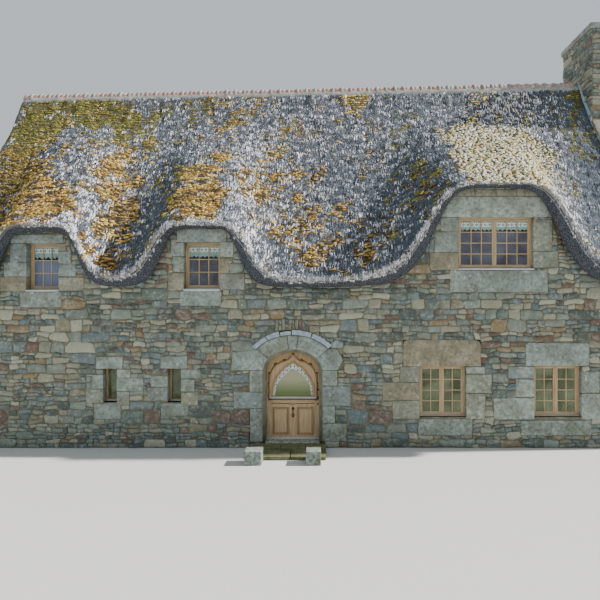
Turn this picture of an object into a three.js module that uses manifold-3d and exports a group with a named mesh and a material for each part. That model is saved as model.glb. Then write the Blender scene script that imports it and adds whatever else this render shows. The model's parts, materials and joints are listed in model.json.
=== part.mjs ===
// A thatched stone cottage with eyebrow dormers, in millimetres, +Z up.
// X runs along the ridge, the front wall faces -Y, and the origin lies on the ground at the plan's centre.
import * as THREE from "three";
import { mergeVertices } from "three/addons/utils/BufferGeometryUtils.js";
import Module from "manifold-3d";

const wasm = await Module();
wasm.setup();

// Driving dimensions. Cutting shapes reach PAST beyond the faces that they open.
const GAP = 0.3;
const HOUSE = { left: -8350, right: 8350, front: -3500, rear: 3500 };
const WALL = 600;
const RIGHT_GABLE = 950;
const GABLE_FACE = HOUSE.right - RIGHT_GABLE;
const GROUND_FLOOR = { thick: 150 };
const UPPER_FLOOR = { top: 2950, thick: 200 };
const WALL_TOP = 12000;
const CUT_ABOVE = 12500;
const PAST = 50;

// Thatch: the outer edge of the eave, the inner edge of its cut face, and the ridge
const EAVE = { outerReach: 3950, outerZ: 3740, innerReach: 3707, innerZ: 3600 };
const RIDGE = { z: 9235, rise: 0.0219, thick: 495, dormersEnd: 450 };
const VERGE_LEFT = -8560;
const CREST_FADE = 1.15;
const SLOPE_ROWS = 12;
const COLUMN = { flank: [0.5, 1.6], fine: 150, coarse: 330, last: 1.6 };
const CAPPING = {
  bays: 24,
  outline: [
    [-195, -300], [195, -300], [186, -190], [135, 40], [75, 145],
    [0, 180], [-75, 145], [-135, 40], [-186, -190],
  ],
};

// Eyebrow dormers: centre, rise and half width of the outer and inner edges of the eave
const FRONT_DORMERS = [
  { x: -6245, rise: 1245, half: 1010, innerRise: 1240, innerHalf: 860, edge: 6.5 },
  { x: -2694, rise: 1255, half: 1140, innerRise: 1325, innerHalf: 890, edge: 6.5 },
  { x: 3890, rise: 2140, half: 1710, innerRise: 2210, innerHalf: 1452, edge: 5.5 },
];
const REAR_DORMERS = [
  { x: -3900, rise: 1250, half: 1120, innerRise: 1320, innerHalf: 880, edge: 6.5 },
  { x: 3300, rise: 1250, half: 1120, innerRise: 1320, innerHalf: 880, edge: 6.5 },
];

// Windows: opening in the outer face, its recess, and the lintel and sill stones
const FRONT_WINDOWS = [
  {
    name: "upper_left", x: [-6656, -5916], z: [3555, 4604], recess: 210, leaves: 1,
    lintel: { x: [-6994, -5812], z: [4604, 4806] }, sill: { x: [-6789, -5853], z: [3172, 3510] },
  },
  {
    name: "upper_middle", x: [-3102, -2285], z: [3578, 4635], recess: 210, leaves: 1,
    lintel: { x: [-3252, -2134], z: [4635, 4927] }, sill: { x: [-3187, -2251], z: [3204, 3517] },
  },
  {
    name: "upper_right", x: [3088, 4785], z: [4039, 5197], recess: 120, leaves: 2,
    lintel: { x: [2702, 5199], z: [5197, 5656] }, sill: { x: [2895, 5100], z: [3506, 4000] },
  },
  {
    name: "lower_middle", x: [2211, 3266], z: [698, 1838], recess: 120, leaves: 2,
    lintel: { x: [1844, 3592], z: [1838, 2430] }, sill: { x: [2188, 3401], z: [277, 644] },
  },
  {
    name: "lower_right", x: [4792, 5865], z: [698, 1845], recess: 120, leaves: 2,
    lintel: { x: [4605, 6038], z: [1845, 2362] }, sill: { x: [4499, 6081], z: [277, 621] },
  },
];
const REAR_WINDOWS = [
  { name: "rear_upper_left", x: [-4310, -3490], z: [3578, 4635], recess: 210, leaves: 1 },
  { name: "rear_upper_right", x: [2890, 3710], z: [3578, 4635], recess: 210, leaves: 1 },
  { name: "rear_lower_left", x: [-4435, -3365], z: [698, 1840], recess: 120, leaves: 2 },
  { name: "rear_lower_right", x: [2765, 3835], z: [698, 1840], recess: 120, leaves: 2 },
];
const SLITS = [
  { name: "slit_left", x: [-4924, -4604], z: [1024, 1784], recess: 210 },
  { name: "slit_right", x: [-3468, -3155], z: [1024, 1784], recess: 210 },
];
const FRAME = {
  thick: 56, rebate: 40, bar: 74, topBar: 64, meeting: 164, glassBack: 24, glass: 6, lap: 12,
};
const DRESSED = { proud: 15, depth: 300 };

// Doorway: centre, clear half width and heights of the arched opening, and the stones round it
const DOOR = { x: -650, half: 606, spring: 1690, rise: 455, back: -3250, sillZ: 150 };
const ARCH_STEPS = 20;
const BAY_MARGIN = 50;
const JAMB = { half: 990, chamfer: 90, chamferSteps: 3, proud: 20 };
const SPRINGER = { half: 1250, bottom: 1744, top: 2120 };
const ARCH = { half: 1010, rise: 787 };
const HOOD = { bottom: 14, thick: 110, proud: 62, depth: 160, from: 0.2, steps: 24 };
const INNER_DOORWAY = { half: 705, top: 2320, lap: 20 };
const THRESHOLD = { proud: 40, lap: 10 };
const DOORSTEP = { half: 750, front: 980, rise: 80, upperFront: 430, upperRise: 118 };
const STEP_BLOCK = { deep: 370, top: 285, left: [-1570, -1210], right: [-322, -10] };
const LEAF = { half: 640, thick: 54, front: -3244, bottom: 160, overlap: 34 };
const HINGE = {
  offset: 16, pin: 8, hole: 8.6, barrel: 16, tall: 70, reach: 400, strap: 4, roof: 12, z: [430, 1500],
};
const PINTLE = { radius: 10, drop: 30, foot: 10, top: 14 };
const DOOR_GLASS = { half: 448, bottom: 1118, shoulder: 1500, top: 1850, thick: 6, seat: 24 };
const OGEE = [[1, 0], [0.86, 0.35], [0.5, 0.68], [0.16, 0.86]];
const KNOCKER = { half: 26, thick: 9, z: [700, 920], bossHalf: 16, bossProud: 46, bossZ: [760, 800] };
const HANDLE = { inset: 62, half: 24, thick: 8, z: [980, 1240] };
const LEVER = { neck: 11, z: [1112, 1134], proud: 56, thick: 18, reach: 120 };

const CHIMNEY = { half: 880, top: 10750, capThick: 150, overhang: 60, flue: [400, 600], flueDeep: 400 };
const PARAPET = 60;

const COLOURS = {
  rubble: [0x7a7d70, 0.95, 0],
  granite: [0x8c948b, 0.9, 0],
  thatch: [0x8a867f, 1, 0],
  mortar: [0x9aa09c, 0.95, 0],
  oak: [0x9a7850, 0.6, 0],
  glass: [0x49525a, 0.08, 0],
  iron: [0x2c2b29, 0.5, 0.8],
  boards: [0x83694a, 0.7, 0],
  moss: [0x6f7055, 0.95, 0],
};

const house = new THREE.Group();
house.name = "thatched_cottage";

function material(name) {
  const [color, roughness, metalness] = COLOURS[name];
  return new THREE.MeshStandardMaterial({ name, color, roughness, metalness });
}

// Adds a geometry or a joined solid to the house as one named piece.
function piece(name, finish, shape) {
  const geometry = shape.isBufferGeometry ? shape : geometryOf(shape);
  const mesh = new THREE.Mesh(geometry, material(finish));
  mesh.name = name;
  house.add(mesh);
}

function solid(geometry) {
  const bare = geometry.clone();
  bare.deleteAttribute("normal");
  bare.deleteAttribute("uv");
  const merged = mergeVertices(bare, 1e-3);
  return new wasm.Manifold(
    new wasm.Mesh({
      numProp: 3,
      vertProperties: new Float32Array(merged.attributes.position.array),
      triVerts: new Uint32Array(merged.index.array),
    }),
  );
}

function geometryOf(manifold) {
  const mesh = manifold.getMesh();
  const geometry = new THREE.BufferGeometry();
  geometry.setAttribute("position", new THREE.BufferAttribute(mesh.vertProperties, 3));
  geometry.setIndex(new THREE.BufferAttribute(mesh.triVerts, 1));
  return geometry;
}

function block([x0, x1], [y0, y1], [z0, z1]) {
  const box = new THREE.BoxGeometry(x1 - x0, y1 - y0, z1 - z0);
  return box.translate((x0 + x1) / 2, (y0 + y1) / 2, (z0 + z1) / 2);
}

function grown([low, high], by) {
  return [low - by, high + by];
}

// An outline in the wall's plane, x and z, given its thickness in Y.
function wallPlate(outline, [y0, y1]) {
  const shape = new THREE.Shape(outline.map(([x, z]) => new THREE.Vector2(x, z)));
  const plate = new THREE.ExtrudeGeometry(shape, { depth: y1 - y0, bevelEnabled: false });
  return plate.rotateX(Math.PI / 2).translate(0, y1, 0);
}

// An outline in the gable's plane, y and z, given its thickness in X.
function gablePlate(outline, [x0, x1]) {
  const shape = new THREE.Shape(outline.map(([y, z]) => new THREE.Vector2(y, z)));
  const plate = new THREE.ExtrudeGeometry(shape, { depth: x1 - x0, bevelEnabled: false });
  const turn = new THREE.Matrix4().makeBasis(
    new THREE.Vector3(0, 1, 0),
    new THREE.Vector3(0, 0, 1),
    new THREE.Vector3(1, 0, 0),
  );
  return plate.applyMatrix4(turn).translate(x0, 0, 0);
}

function upright(x, y, radius, [z0, z1]) {
  const post = new THREE.CylinderGeometry(radius, radius, z1 - z0, 16);
  return post.rotateX(Math.PI / 2).translate(x, y, (z0 + z1) / 2);
}

const lerp = THREE.MathUtils.lerp;

function ridgeZ(x) {
  return RIDGE.z + RIDGE.rise * x;
}

// Height that the dormers add at x, a share of the way from the eave to where their crests die out.
function dormerRise(dormers, x, share, rise, half) {
  if (share >= 1) return 0;
  const fade = (1 - share) ** CREST_FADE;
  const heights = dormers.map((dormer) => {
    const edge = lerp(dormer.edge, 3, share);
    return dormer[rise] / (1 + Math.abs((x - dormer.x) / dormer[half]) ** edge);
  });
  return fade * heights.reduce((sum, height) => sum + height, 0);
}

// Top of the thatch at x, at a distance from the ridge's plane.
function thatchTop(dormers, x, out) {
  const along = 1 - out / EAVE.outerReach;
  const share = (EAVE.outerReach - out) / (EAVE.outerReach - RIDGE.dormersEnd);
  return lerp(EAVE.outerZ, ridgeZ(x), along) + dormerRise(dormers, x, share, "rise", "half");
}

// Underside of the thatch at x, at a distance from the ridge's plane.
function thatchUnder(dormers, x, out) {
  const along = 1 - out / EAVE.innerReach;
  const share = (EAVE.innerReach - out) / (EAVE.innerReach - RIDGE.dormersEnd);
  const plain = lerp(EAVE.innerZ, ridgeZ(x) - RIDGE.thick, along);
  return plain + dormerRise(dormers, x, share, "innerRise", "innerHalf");
}

// Places along the ridge where the thatch has a row of points, closer on the dormers' flanks.
function columns(dormers, from, to) {
  const places = [from];
  let x = from;
  while (x < to) {
    const onFlank = dormers.some((dormer) => {
      const off = Math.abs(x - dormer.x) / dormer.half;
      return off > COLUMN.flank[0] && off < COLUMN.flank[1];
    });
    const step = onFlank ? COLUMN.fine : COLUMN.coarse;
    x = to - x < step * COLUMN.last ? to : x + step;
    places.push(x);
  }
  return places;
}

// A box bent to a roof slope: it has rows from the eave to the ridge, and a top and an underside.
function slope(side, places, rows, top, under, reach) {
  const box = new THREE.BoxGeometry(1, 1, 1, places.length - 1, rows, 1);
  const points = box.attributes.position;
  for (let i = 0; i < points.count; i++) {
    const x = places[Math.round((points.getX(i) + 0.5) * (places.length - 1))];
    const share = 0.5 - side * points.getY(i);
    const onTop = points.getZ(i) > 0;
    const out = lerp(onTop ? reach.top : reach.under, reach.ridge, share);
    const z = onTop ? top(x, out) : under(x, out);
    points.setXYZ(i, x, side * (share === 1 ? reach.ridge - reach.past : out), z);
  }
  return box;
}

function thatch(side, dormers) {
  const places = columns(dormers, VERGE_LEFT, GABLE_FACE - GAP);
  const reach = { top: EAVE.outerReach, under: EAVE.innerReach, ridge: GAP, past: 0 };
  const top = (x, out) => thatchTop(dormers, x, out);
  const under = (x, out) => thatchUnder(dormers, x, out);
  return slope(side, places, SLOPE_ROWS, top, under, reach);
}

// Everything above the underside of one slope, to cut the walls' tops to the thatch.
function aboveUnderside(side, dormers) {
  const inner = columns(dormers, VERGE_LEFT, GABLE_FACE - GAP);
  const places = [VERGE_LEFT - WALL, ...inner, HOUSE.right + WALL];
  const reach = { top: EAVE.innerReach, under: EAVE.innerReach, ridge: GAP, past: 2 * GAP };
  const under = (x, out) => thatchUnder(dormers, x, out) - GAP;
  return solid(slope(side, places, SLOPE_ROWS, () => CUT_ABOVE, under, reach));
}

// Everything below the top of one slope, to cut the ridge capping's underside to the thatch.
function belowTop(side) {
  const ends = [VERGE_LEFT - WALL, HOUSE.right];
  const places = Array.from({ length: CAPPING.bays + 1 }, (_, i) => lerp(...ends, i / CAPPING.bays));
  const reach = { top: RIDGE.dormersEnd, under: RIDGE.dormersEnd, ridge: GAP, past: 2 * GAP };
  const top = (x, out) => thatchTop([], x, out) + 4 * GAP;
  return solid(slope(side, places, 1, top, () => 0, reach));
}

const roofCuts = [aboveUnderside(-1, FRONT_DORMERS), aboveUnderside(1, REAR_DORMERS)];

function underThatch(shape) {
  return roofCuts.reduce((rest, cut) => rest.subtract(cut), shape);
}

// The hollow that a window takes out of a wall: its outer opening, and the wider rebate behind.
function windowHollow(hole, face, inward) {
  const plane = face + inward * hole.recess;
  const outer = [face - inward * WALL, plane + inward].sort((a, b) => a - b);
  const inner = [plane, face + inward * (WALL + PAST)].sort((a, b) => a - b);
  const wide = grown(hole.x, FRAME.rebate);
  const tall = [hole.z[0], hole.z[1] + FRAME.rebate];
  return solid(block(hole.x, outer, hole.z)).add(solid(block(wide, inner, tall)));
}

function dressedStone(stone, by) {
  const depth = [HOUSE.front - DRESSED.proud - by, HOUSE.front + DRESSED.depth + by];
  return solid(block(grown(stone.x, by), depth, grown(stone.z, by)));
}

// An arch's curve over the door, without a share of the half turn at each end.
function archPoints(half, rise, spring, steps, without = 0) {
  const points = [];
  for (let i = 0; i <= steps; i++) {
    const angle = Math.PI * lerp(without, 1 - without, i / steps);
    points.push([DOOR.x - half * Math.cos(angle), spring + rise * Math.sin(angle)]);
  }
  return points;
}

// The arched opening between the door's stones, wider towards the outer face by the chamfer.
function archedHollow(widen, span) {
  const half = DOOR.half + widen;
  const arch = archPoints(half, DOOR.rise + widen, DOOR.spring, ARCH_STEPS);
  const foot = -PAST;
  return solid(wallPlate([[DOOR.x - half, foot], ...arch, [DOOR.x + half, foot]], span));
}

function archedDoorway() {
  const front = HOUSE.front - JAMB.proud;
  const steps = JAMB.chamferSteps;
  let hollow = archedHollow(0, [front - PAST, DOOR.back + PAST]);
  for (let i = 1; i <= steps; i++) {
    const widen = JAMB.chamfer * ((i - 0.5) / steps);
    const deep = JAMB.chamfer * (1 - (i - 0.5) / steps);
    hollow = hollow.add(archedHollow(widen, [front - PAST, front + deep]));
  }
  return hollow;
}

// Outline of the door's dressed stones: jambs, projecting springers and the arch.
function surroundBlock(by) {
  const depth = [HOUSE.front - JAMB.proud - by, DOOR.back + by];
  const jambs = block(grown([DOOR.x, DOOR.x], JAMB.half + by), depth, [0, SPRINGER.bottom]);
  const springers = block(
    grown([DOOR.x, DOOR.x], SPRINGER.half + by),
    depth,
    [SPRINGER.bottom - by, SPRINGER.top + by],
  );
  const arch = wallPlate(archPoints(ARCH.half + by, ARCH.rise + by, SPRINGER.bottom, ARCH_STEPS), depth);
  return solid(jambs).add(solid(springers)).add(solid(arch));
}

function hoodMould(by) {
  const { bottom, thick, proud, depth, from, steps } = HOOD;
  const ends = from - by / ARCH.half / 2;
  const curve = (out) => archPoints(ARCH.half + out, ARCH.rise + out, SPRINGER.bottom, steps, ends);
  const ring = [...curve(bottom + thick + by), ...curve(bottom - by).reverse()];
  return solid(wallPlate(ring, [HOUSE.front - proud - by, HOUSE.front + depth + by]));
}

function buildFrontWall() {
  const y = [HOUSE.front, HOUSE.front + WALL];
  const z = [0, WALL_TOP];
  const split = grown([DOOR.x, DOOR.x], SPRINGER.half + BAY_MARGIN);
  const bays = {
    front_wall_left: [HOUSE.left, split[0] - GAP],
    front_wall_over_door: split,
    front_wall_right: [split[1] + GAP, GABLE_FACE - GAP],
  };
  const doorway = block(
    grown([DOOR.x, DOOR.x], INNER_DOORWAY.half),
    [DOOR.back - INNER_DOORWAY.lap, HOUSE.front + WALL + PAST],
    [-PAST, INNER_DOORWAY.top],
  );
  const cuts = [
    surroundBlock(GAP),
    hoodMould(GAP),
    solid(doorway),
    ...[...FRONT_WINDOWS, ...SLITS].map((hole) => windowHollow(hole, HOUSE.front, 1)),
    ...FRONT_WINDOWS.flatMap(({ lintel, sill }) => [dressedStone(lintel, GAP), dressedStone(sill, GAP)]),
  ];
  for (const [name, x] of Object.entries(bays)) {
    const wall = cuts.reduce((rest, cut) => rest.subtract(cut), solid(block(x, y, z)));
    piece(name, "rubble", underThatch(wall));
  }
}

function buildOtherWalls() {
  const z = [0, WALL_TOP];
  const rearY = [HOUSE.rear - WALL, HOUSE.rear];
  let rear = solid(block([HOUSE.left, GABLE_FACE - GAP], rearY, z));
  for (const hole of REAR_WINDOWS) rear = rear.subtract(windowHollow(hole, HOUSE.rear, -1));
  piece("rear_wall", "rubble", underThatch(rear));

  const between = [HOUSE.front + WALL + GAP, HOUSE.rear - WALL - GAP];
  const left = solid(block([HOUSE.left, HOUSE.left + WALL], between, z));
  piece("left_gable_wall", "rubble", underThatch(left));

  const shoulder = thatchTop([], GABLE_FACE, -HOUSE.front) + PARAPET;
  const stackFoot = thatchTop([], GABLE_FACE, CHIMNEY.half) + PARAPET;
  const gable = [
    [HOUSE.front, 0], [HOUSE.rear, 0], [HOUSE.rear, shoulder],
    [CHIMNEY.half, stackFoot], [-CHIMNEY.half, stackFoot], [HOUSE.front, shoulder],
  ];
  piece("right_gable_wall", "rubble", gablePlate(gable, [GABLE_FACE, HOUSE.right]));
  buildChimney(stackFoot + GAP);
}

function buildChimney(foot) {
  const middle = (GABLE_FACE + HOUSE.right) / 2;
  const flue = block(
    grown([middle, middle], CHIMNEY.flue[0] / 2),
    grown([0, 0], CHIMNEY.flue[1] / 2),
    [CHIMNEY.top - CHIMNEY.flueDeep, CHIMNEY.top + CHIMNEY.capThick + PAST],
  );
  const x = [GABLE_FACE, HOUSE.right];
  const y = [-CHIMNEY.half, CHIMNEY.half];
  const stack = solid(block(x, y, [foot, CHIMNEY.top]));
  piece("chimney_stack", "rubble", stack.subtract(solid(flue)));
  const capZ = [CHIMNEY.top + GAP, CHIMNEY.top + CHIMNEY.capThick];
  const cap = solid(block(grown(x, CHIMNEY.overhang), grown(y, CHIMNEY.overhang), capZ));
  piece("chimney_cap", "granite", cap.subtract(solid(flue)));
}

function buildFloors() {
  const x = [HOUSE.left + WALL + GAP, GABLE_FACE - GAP];
  const y = [HOUSE.front + WALL + GAP, HOUSE.rear - WALL - GAP];
  piece("ground_floor", "mortar", block(x, y, [0, GROUND_FLOOR.thick]));
  piece("upper_floor", "boards", block(x, y, [UPPER_FLOOR.top - UPPER_FLOOR.thick, UPPER_FLOOR.top]));
}

function buildRoof() {
  piece("thatch_front", "thatch", thatch(-1, FRONT_DORMERS));
  piece("thatch_rear", "thatch", thatch(1, REAR_DORMERS));
  const lean = new THREE.Matrix4().makeShear(0, RIDGE.rise, 0, 0, 0, 0);
  const prism = gablePlate(CAPPING.outline, [VERGE_LEFT, GABLE_FACE - GAP]);
  prism.applyMatrix4(lean).translate(0, 0, RIDGE.z);
  const capping = solid(prism).subtract(belowTop(-1)).subtract(belowTop(1));
  piece("ridge_capping", "mortar", capping);
}

function buildDoorSurround() {
  const stones = surroundBlock(0).subtract(archedDoorway());
  const front = HOUSE.front - JAMB.proud;
  const low = [0, SPRINGER.bottom - GAP];
  const depth = [front - PAST, DOOR.back + PAST];
  const leftSide = [DOOR.x - JAMB.half - PAST, DOOR.x];
  const rightSide = [DOOR.x, DOOR.x + JAMB.half + PAST];
  piece("door_jamb_left", "granite", stones.intersect(solid(block(leftSide, depth, low))));
  piece("door_jamb_right", "granite", stones.intersect(solid(block(rightSide, depth, low))));
  const high = block(grown([DOOR.x, DOOR.x], SPRINGER.half + PAST), depth, [SPRINGER.bottom, CUT_ABOVE]);
  piece("door_arch", "granite", stones.intersect(solid(high)));
  piece("door_hood_mould", "granite", hoodMould(0));
}

// The threshold fills the doorway's foot: narrow between the jambs, wide behind them.
function buildThreshold(frontY) {
  const z = [0, DOOR.sillZ];
  const between = grown([DOOR.x, DOOR.x], DOOR.half - GAP);
  const behind = grown([DOOR.x, DOOR.x], INNER_DOORWAY.half - GAP);
  const narrow = solid(block(between, [frontY, DOOR.back + THRESHOLD.lap], z));
  const wide = solid(block(behind, [DOOR.back + GAP, HOUSE.front + WALL], z));
  piece("threshold", "granite", narrow.add(wide));
}

function buildDoorsteps() {
  const thresholdY = HOUSE.front - JAMB.proud - THRESHOLD.proud;
  buildThreshold(thresholdY);
  const stepX = grown([DOOR.x, DOOR.x], DOORSTEP.half);
  const stepBack = thresholdY - GAP;
  const stepFront = HOUSE.front - DOORSTEP.front;
  const low = solid(block(stepX, [stepFront, stepBack], [0, DOORSTEP.rise]));
  const high = solid(block(stepX, [HOUSE.front - DOORSTEP.upperFront, stepBack], [0, DOORSTEP.upperRise]));
  piece("doorstep", "moss", low.add(high));
  const blockY = [stepFront - STEP_BLOCK.deep, stepFront - GAP];
  piece("step_block_left", "granite", block(STEP_BLOCK.left, blockY, [0, STEP_BLOCK.top]));
  piece("step_block_right", "granite", block(STEP_BLOCK.right, blockY, [0, STEP_BLOCK.top]));
}

function buildWindow(hole, face, inward) {
  const plane = face + inward * hole.recess;
  const slab = (near, far) => [plane + inward * near, plane + inward * far].sort((a, b) => a - b);
  const outerX = grown(hole.x, FRAME.rebate - GAP);
  const outerZ = [hole.z[0] + GAP, hole.z[1] + FRAME.rebate - GAP];
  let frame = solid(block(outerX, slab(GAP, FRAME.thick), outerZ));
  const glassX = grown(hole.x, -FRAME.bar);
  const glassZ = [hole.z[0] + FRAME.bar, hole.z[1] - FRAME.topBar];
  const middle = (hole.x[0] + hole.x[1]) / 2;
  const panes =
    hole.leaves === 1
      ? [glassX]
      : [
          [glassX[0], middle - FRAME.meeting / 2],
          [middle + FRAME.meeting / 2, glassX[1]],
        ];
  for (const x of panes) frame = frame.subtract(solid(block(x, slab(-PAST, FRAME.thick + PAST), glassZ)));
  const seatX = grown(glassX, FRAME.lap);
  const seatZ = grown(glassZ, FRAME.lap);
  frame = frame.subtract(solid(block(seatX, slab(FRAME.glassBack, FRAME.thick + PAST), seatZ)));
  piece(`window_frame_${hole.name}`, "oak", frame);
  const sheet = slab(FRAME.glassBack + GAP, FRAME.glassBack + GAP + FRAME.glass);
  piece(`window_glass_${hole.name}`, "glass", block(grown(seatX, -GAP), sheet, grown(seatZ, -GAP)));
}

function buildWindows() {
  for (const hole of FRONT_WINDOWS) {
    buildWindow(hole, HOUSE.front, 1);
    const lintel = dressedStone(hole.lintel, 0).subtract(windowHollow(hole, HOUSE.front, 1));
    piece(`lintel_${hole.name}`, "granite", underThatch(lintel));
    piece(`sill_${hole.name}`, "granite", dressedStone(hole.sill, 0));
  }
  for (const hole of REAR_WINDOWS) buildWindow(hole, HOUSE.rear, -1);
  for (const slit of SLITS) {
    const plane = HOUSE.front + slit.recess + GAP;
    const x = grown(slit.x, FRAME.rebate - GAP);
    const z = [slit.z[0] + GAP, slit.z[1] + FRAME.rebate - GAP];
    piece(`window_glass_${slit.name}`, "glass", block(x, [plane, plane + FRAME.glass], z));
  }
}

// The pointed outline of the door's glass, with its shoulders drawn in as an ogee.
function ogee(by) {
  const { half, bottom, shoulder, top } = DOOR_GLASS;
  const curve = (sign) =>
    OGEE.map(([wide, up]) => [sign * (half * wide + by), lerp(shoulder, top, up)]);
  const points = [
    [half + by, bottom - by], ...curve(1), [0, top + by], ...curve(-1).reverse(), [-half - by, bottom - by],
  ];
  return points.map(([x, z]) => [DOOR.x + x, z]);
}

function buildDoor() {
  const arch = archPoints(LEAF.half, DOOR.rise + LEAF.overlap, DOOR.spring, ARCH_STEPS);
  const outline = [[DOOR.x - LEAF.half, LEAF.bottom], ...arch, [DOOR.x + LEAF.half, LEAF.bottom]];
  const back = LEAF.front + LEAF.thick;
  const seat = LEAF.front + DOOR_GLASS.seat;
  let leaf = solid(wallPlate(outline, [LEAF.front, back]));
  leaf = leaf.subtract(solid(wallPlate(ogee(0), [LEAF.front - PAST, back + PAST])));
  leaf = leaf.subtract(solid(wallPlate(ogee(FRAME.lap), [seat, back + PAST])));
  const axisX = DOOR.x - LEAF.half - HINGE.offset;
  const axisY = back - 1;
  for (const z of HINGE.z) {
    const height = [z, z + HINGE.tall];
    leaf = leaf.add(solid(block([axisX, axisX + HINGE.reach], grown([back, back], HINGE.strap), height)));
    leaf = leaf.add(solid(upright(axisX, axisY, HINGE.barrel, height)));
  }
  for (const z of HINGE.z) {
    const bore = [z - PINTLE.foot, z + HINGE.tall - HINGE.roof];
    leaf = leaf.subtract(solid(upright(axisX, axisY, HINGE.hole, bore)));
  }
  piece("front_door_leaf", "oak", leaf);
  const glassY = [seat + GAP, seat + GAP + DOOR_GLASS.thick];
  piece("front_door_glass", "glass", wallPlate(ogee(FRAME.lap - 1), glassY));
  buildPintles(axisX, axisY);
  buildDoorIron();
}

// A pintle is a pin on a round-ended bracket that stands out from the side of the inner doorway.
function buildPintles(axisX, axisY) {
  const wallFace = DOOR.x - INNER_DOORWAY.half + GAP;
  HINGE.z.forEach((z, i) => {
    const height = [z - PINTLE.drop, z - GAP];
    const bracket = solid(block([wallFace, axisX], grown([axisY, axisY], PINTLE.radius), height));
    const end = solid(upright(axisX, axisY, PINTLE.radius, height));
    const pin = solid(upright(axisX, axisY, HINGE.pin, [z - PINTLE.foot, z + HINGE.tall - PINTLE.top]));
    piece(`door_pintle_${i ? "upper" : "lower"}`, "iron", bracket.add(end).add(pin));
  });
}

function buildDoorIron() {
  const face = LEAF.front - GAP;
  const proud = (by) => [face - by, face];
  const plate = solid(block(grown([DOOR.x, DOOR.x], KNOCKER.half), proud(KNOCKER.thick), KNOCKER.z));
  const bossX = grown([DOOR.x, DOOR.x], KNOCKER.bossHalf);
  const boss = solid(block(bossX, proud(KNOCKER.bossProud), KNOCKER.bossZ));
  piece("front_door_knocker", "iron", plate.add(boss));
  const x = DOOR.x + DOOR.half - HANDLE.inset;
  const back = solid(block(grown([x, x], HANDLE.half), proud(HANDLE.thick), HANDLE.z));
  const neck = solid(block(grown([x, x], LEVER.neck), proud(LEVER.proud), LEVER.z));
  const leverY = [face - LEVER.proud, face - LEVER.proud + LEVER.thick];
  const lever = solid(block([x - LEVER.reach, x + LEVER.neck], leverY, LEVER.z));
  piece("front_door_handle", "iron", back.add(neck).add(lever));
}

buildFrontWall();
buildOtherWalls();
buildFloors();
buildRoof();
buildDoorSurround();
buildDoorsteps();
buildWindows();
buildDoor();

export default house;
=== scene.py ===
"""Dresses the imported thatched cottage: rubble, dressed granite, thatch, ridge tiles, joinery and ironwork.

Lengths are metres in the row frame: X along the ridge, -Y towards the viewer, Z up from the ground.
"""

import json
import logging
import math
import random
from dataclasses import dataclass, field
from enum import Enum
from typing import Callable, Optional, Sequence

import bmesh
import bpy
import numpy as np
from mathutils import Matrix, Vector, noise

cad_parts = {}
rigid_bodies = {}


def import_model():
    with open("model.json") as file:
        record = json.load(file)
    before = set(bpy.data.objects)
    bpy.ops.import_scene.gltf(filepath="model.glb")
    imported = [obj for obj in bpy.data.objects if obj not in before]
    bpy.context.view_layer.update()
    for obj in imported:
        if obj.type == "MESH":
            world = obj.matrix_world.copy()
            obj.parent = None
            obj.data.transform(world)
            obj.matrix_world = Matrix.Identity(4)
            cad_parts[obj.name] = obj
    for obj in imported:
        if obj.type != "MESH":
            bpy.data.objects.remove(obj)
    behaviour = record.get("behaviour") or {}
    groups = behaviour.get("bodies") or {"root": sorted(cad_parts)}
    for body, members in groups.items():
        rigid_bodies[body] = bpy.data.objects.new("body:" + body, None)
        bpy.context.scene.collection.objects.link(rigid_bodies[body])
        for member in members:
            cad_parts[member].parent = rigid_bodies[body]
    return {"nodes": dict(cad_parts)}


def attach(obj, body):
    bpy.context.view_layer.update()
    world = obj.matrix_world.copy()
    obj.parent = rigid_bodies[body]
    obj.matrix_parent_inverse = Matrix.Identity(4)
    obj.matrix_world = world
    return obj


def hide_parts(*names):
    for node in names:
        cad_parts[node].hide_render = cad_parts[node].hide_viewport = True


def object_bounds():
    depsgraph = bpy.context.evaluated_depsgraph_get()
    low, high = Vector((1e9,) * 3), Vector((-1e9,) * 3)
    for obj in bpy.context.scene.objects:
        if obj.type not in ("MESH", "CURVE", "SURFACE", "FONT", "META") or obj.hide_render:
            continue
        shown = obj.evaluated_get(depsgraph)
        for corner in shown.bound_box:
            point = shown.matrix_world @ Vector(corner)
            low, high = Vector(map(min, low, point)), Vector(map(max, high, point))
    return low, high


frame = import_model()
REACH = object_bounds()

log = logging.getLogger("cottage")

Point = tuple[float, float, float]
Flat = tuple[float, float]
Colour = tuple[float, float, float]
Socket = bpy.types.NodeSocket
Lift = Callable[[float, float, float], Point]

HALF_LENGTH = 8.35
HALF_DEPTH = 3.5


def tone(red: int, green: int, blue: int) -> Colour:
    """A colour given as it looks on a screen, as linear light."""
    parts = [part / 255 for part in (red, green, blue)]
    return tuple(p / 12.92 if p < 0.04045 else ((p + 0.055) / 1.055) ** 2.4 for p in parts)


def blend(low: float, high: float, share: float) -> float:
    """The value a share of the way from low to high."""
    return low + (high - low) * share


def smooth(low: float, high: float, value: float) -> float:
    """A soft step from 0 at low to 1 at high."""
    share = min(max((value - low) / (high - low), 0.0), 1.0)
    return share * share * (3 - 2 * share)


class Grain(Enum):
    """The direction in which the wood's grain runs."""

    UPRIGHT = (14.0, 14.0, 0.9)
    LEVEL = (0.9, 14.0, 14.0)


class Facing(Enum):
    """The side of the house that a wall's face looks to, with its turn about Z."""

    FRONT = 0.0
    REAR = math.pi
    LEFT = -math.pi / 2
    RIGHT = math.pi / 2

    def outward(self) -> Vector:
        """The direction out of the wall."""
        return Vector((math.sin(self.value), -math.cos(self.value), 0.0))

    def along(self) -> Vector:
        """The direction along the wall, to the right for someone who looks at it."""
        return Vector((math.cos(self.value), math.sin(self.value), 0.0))


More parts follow.
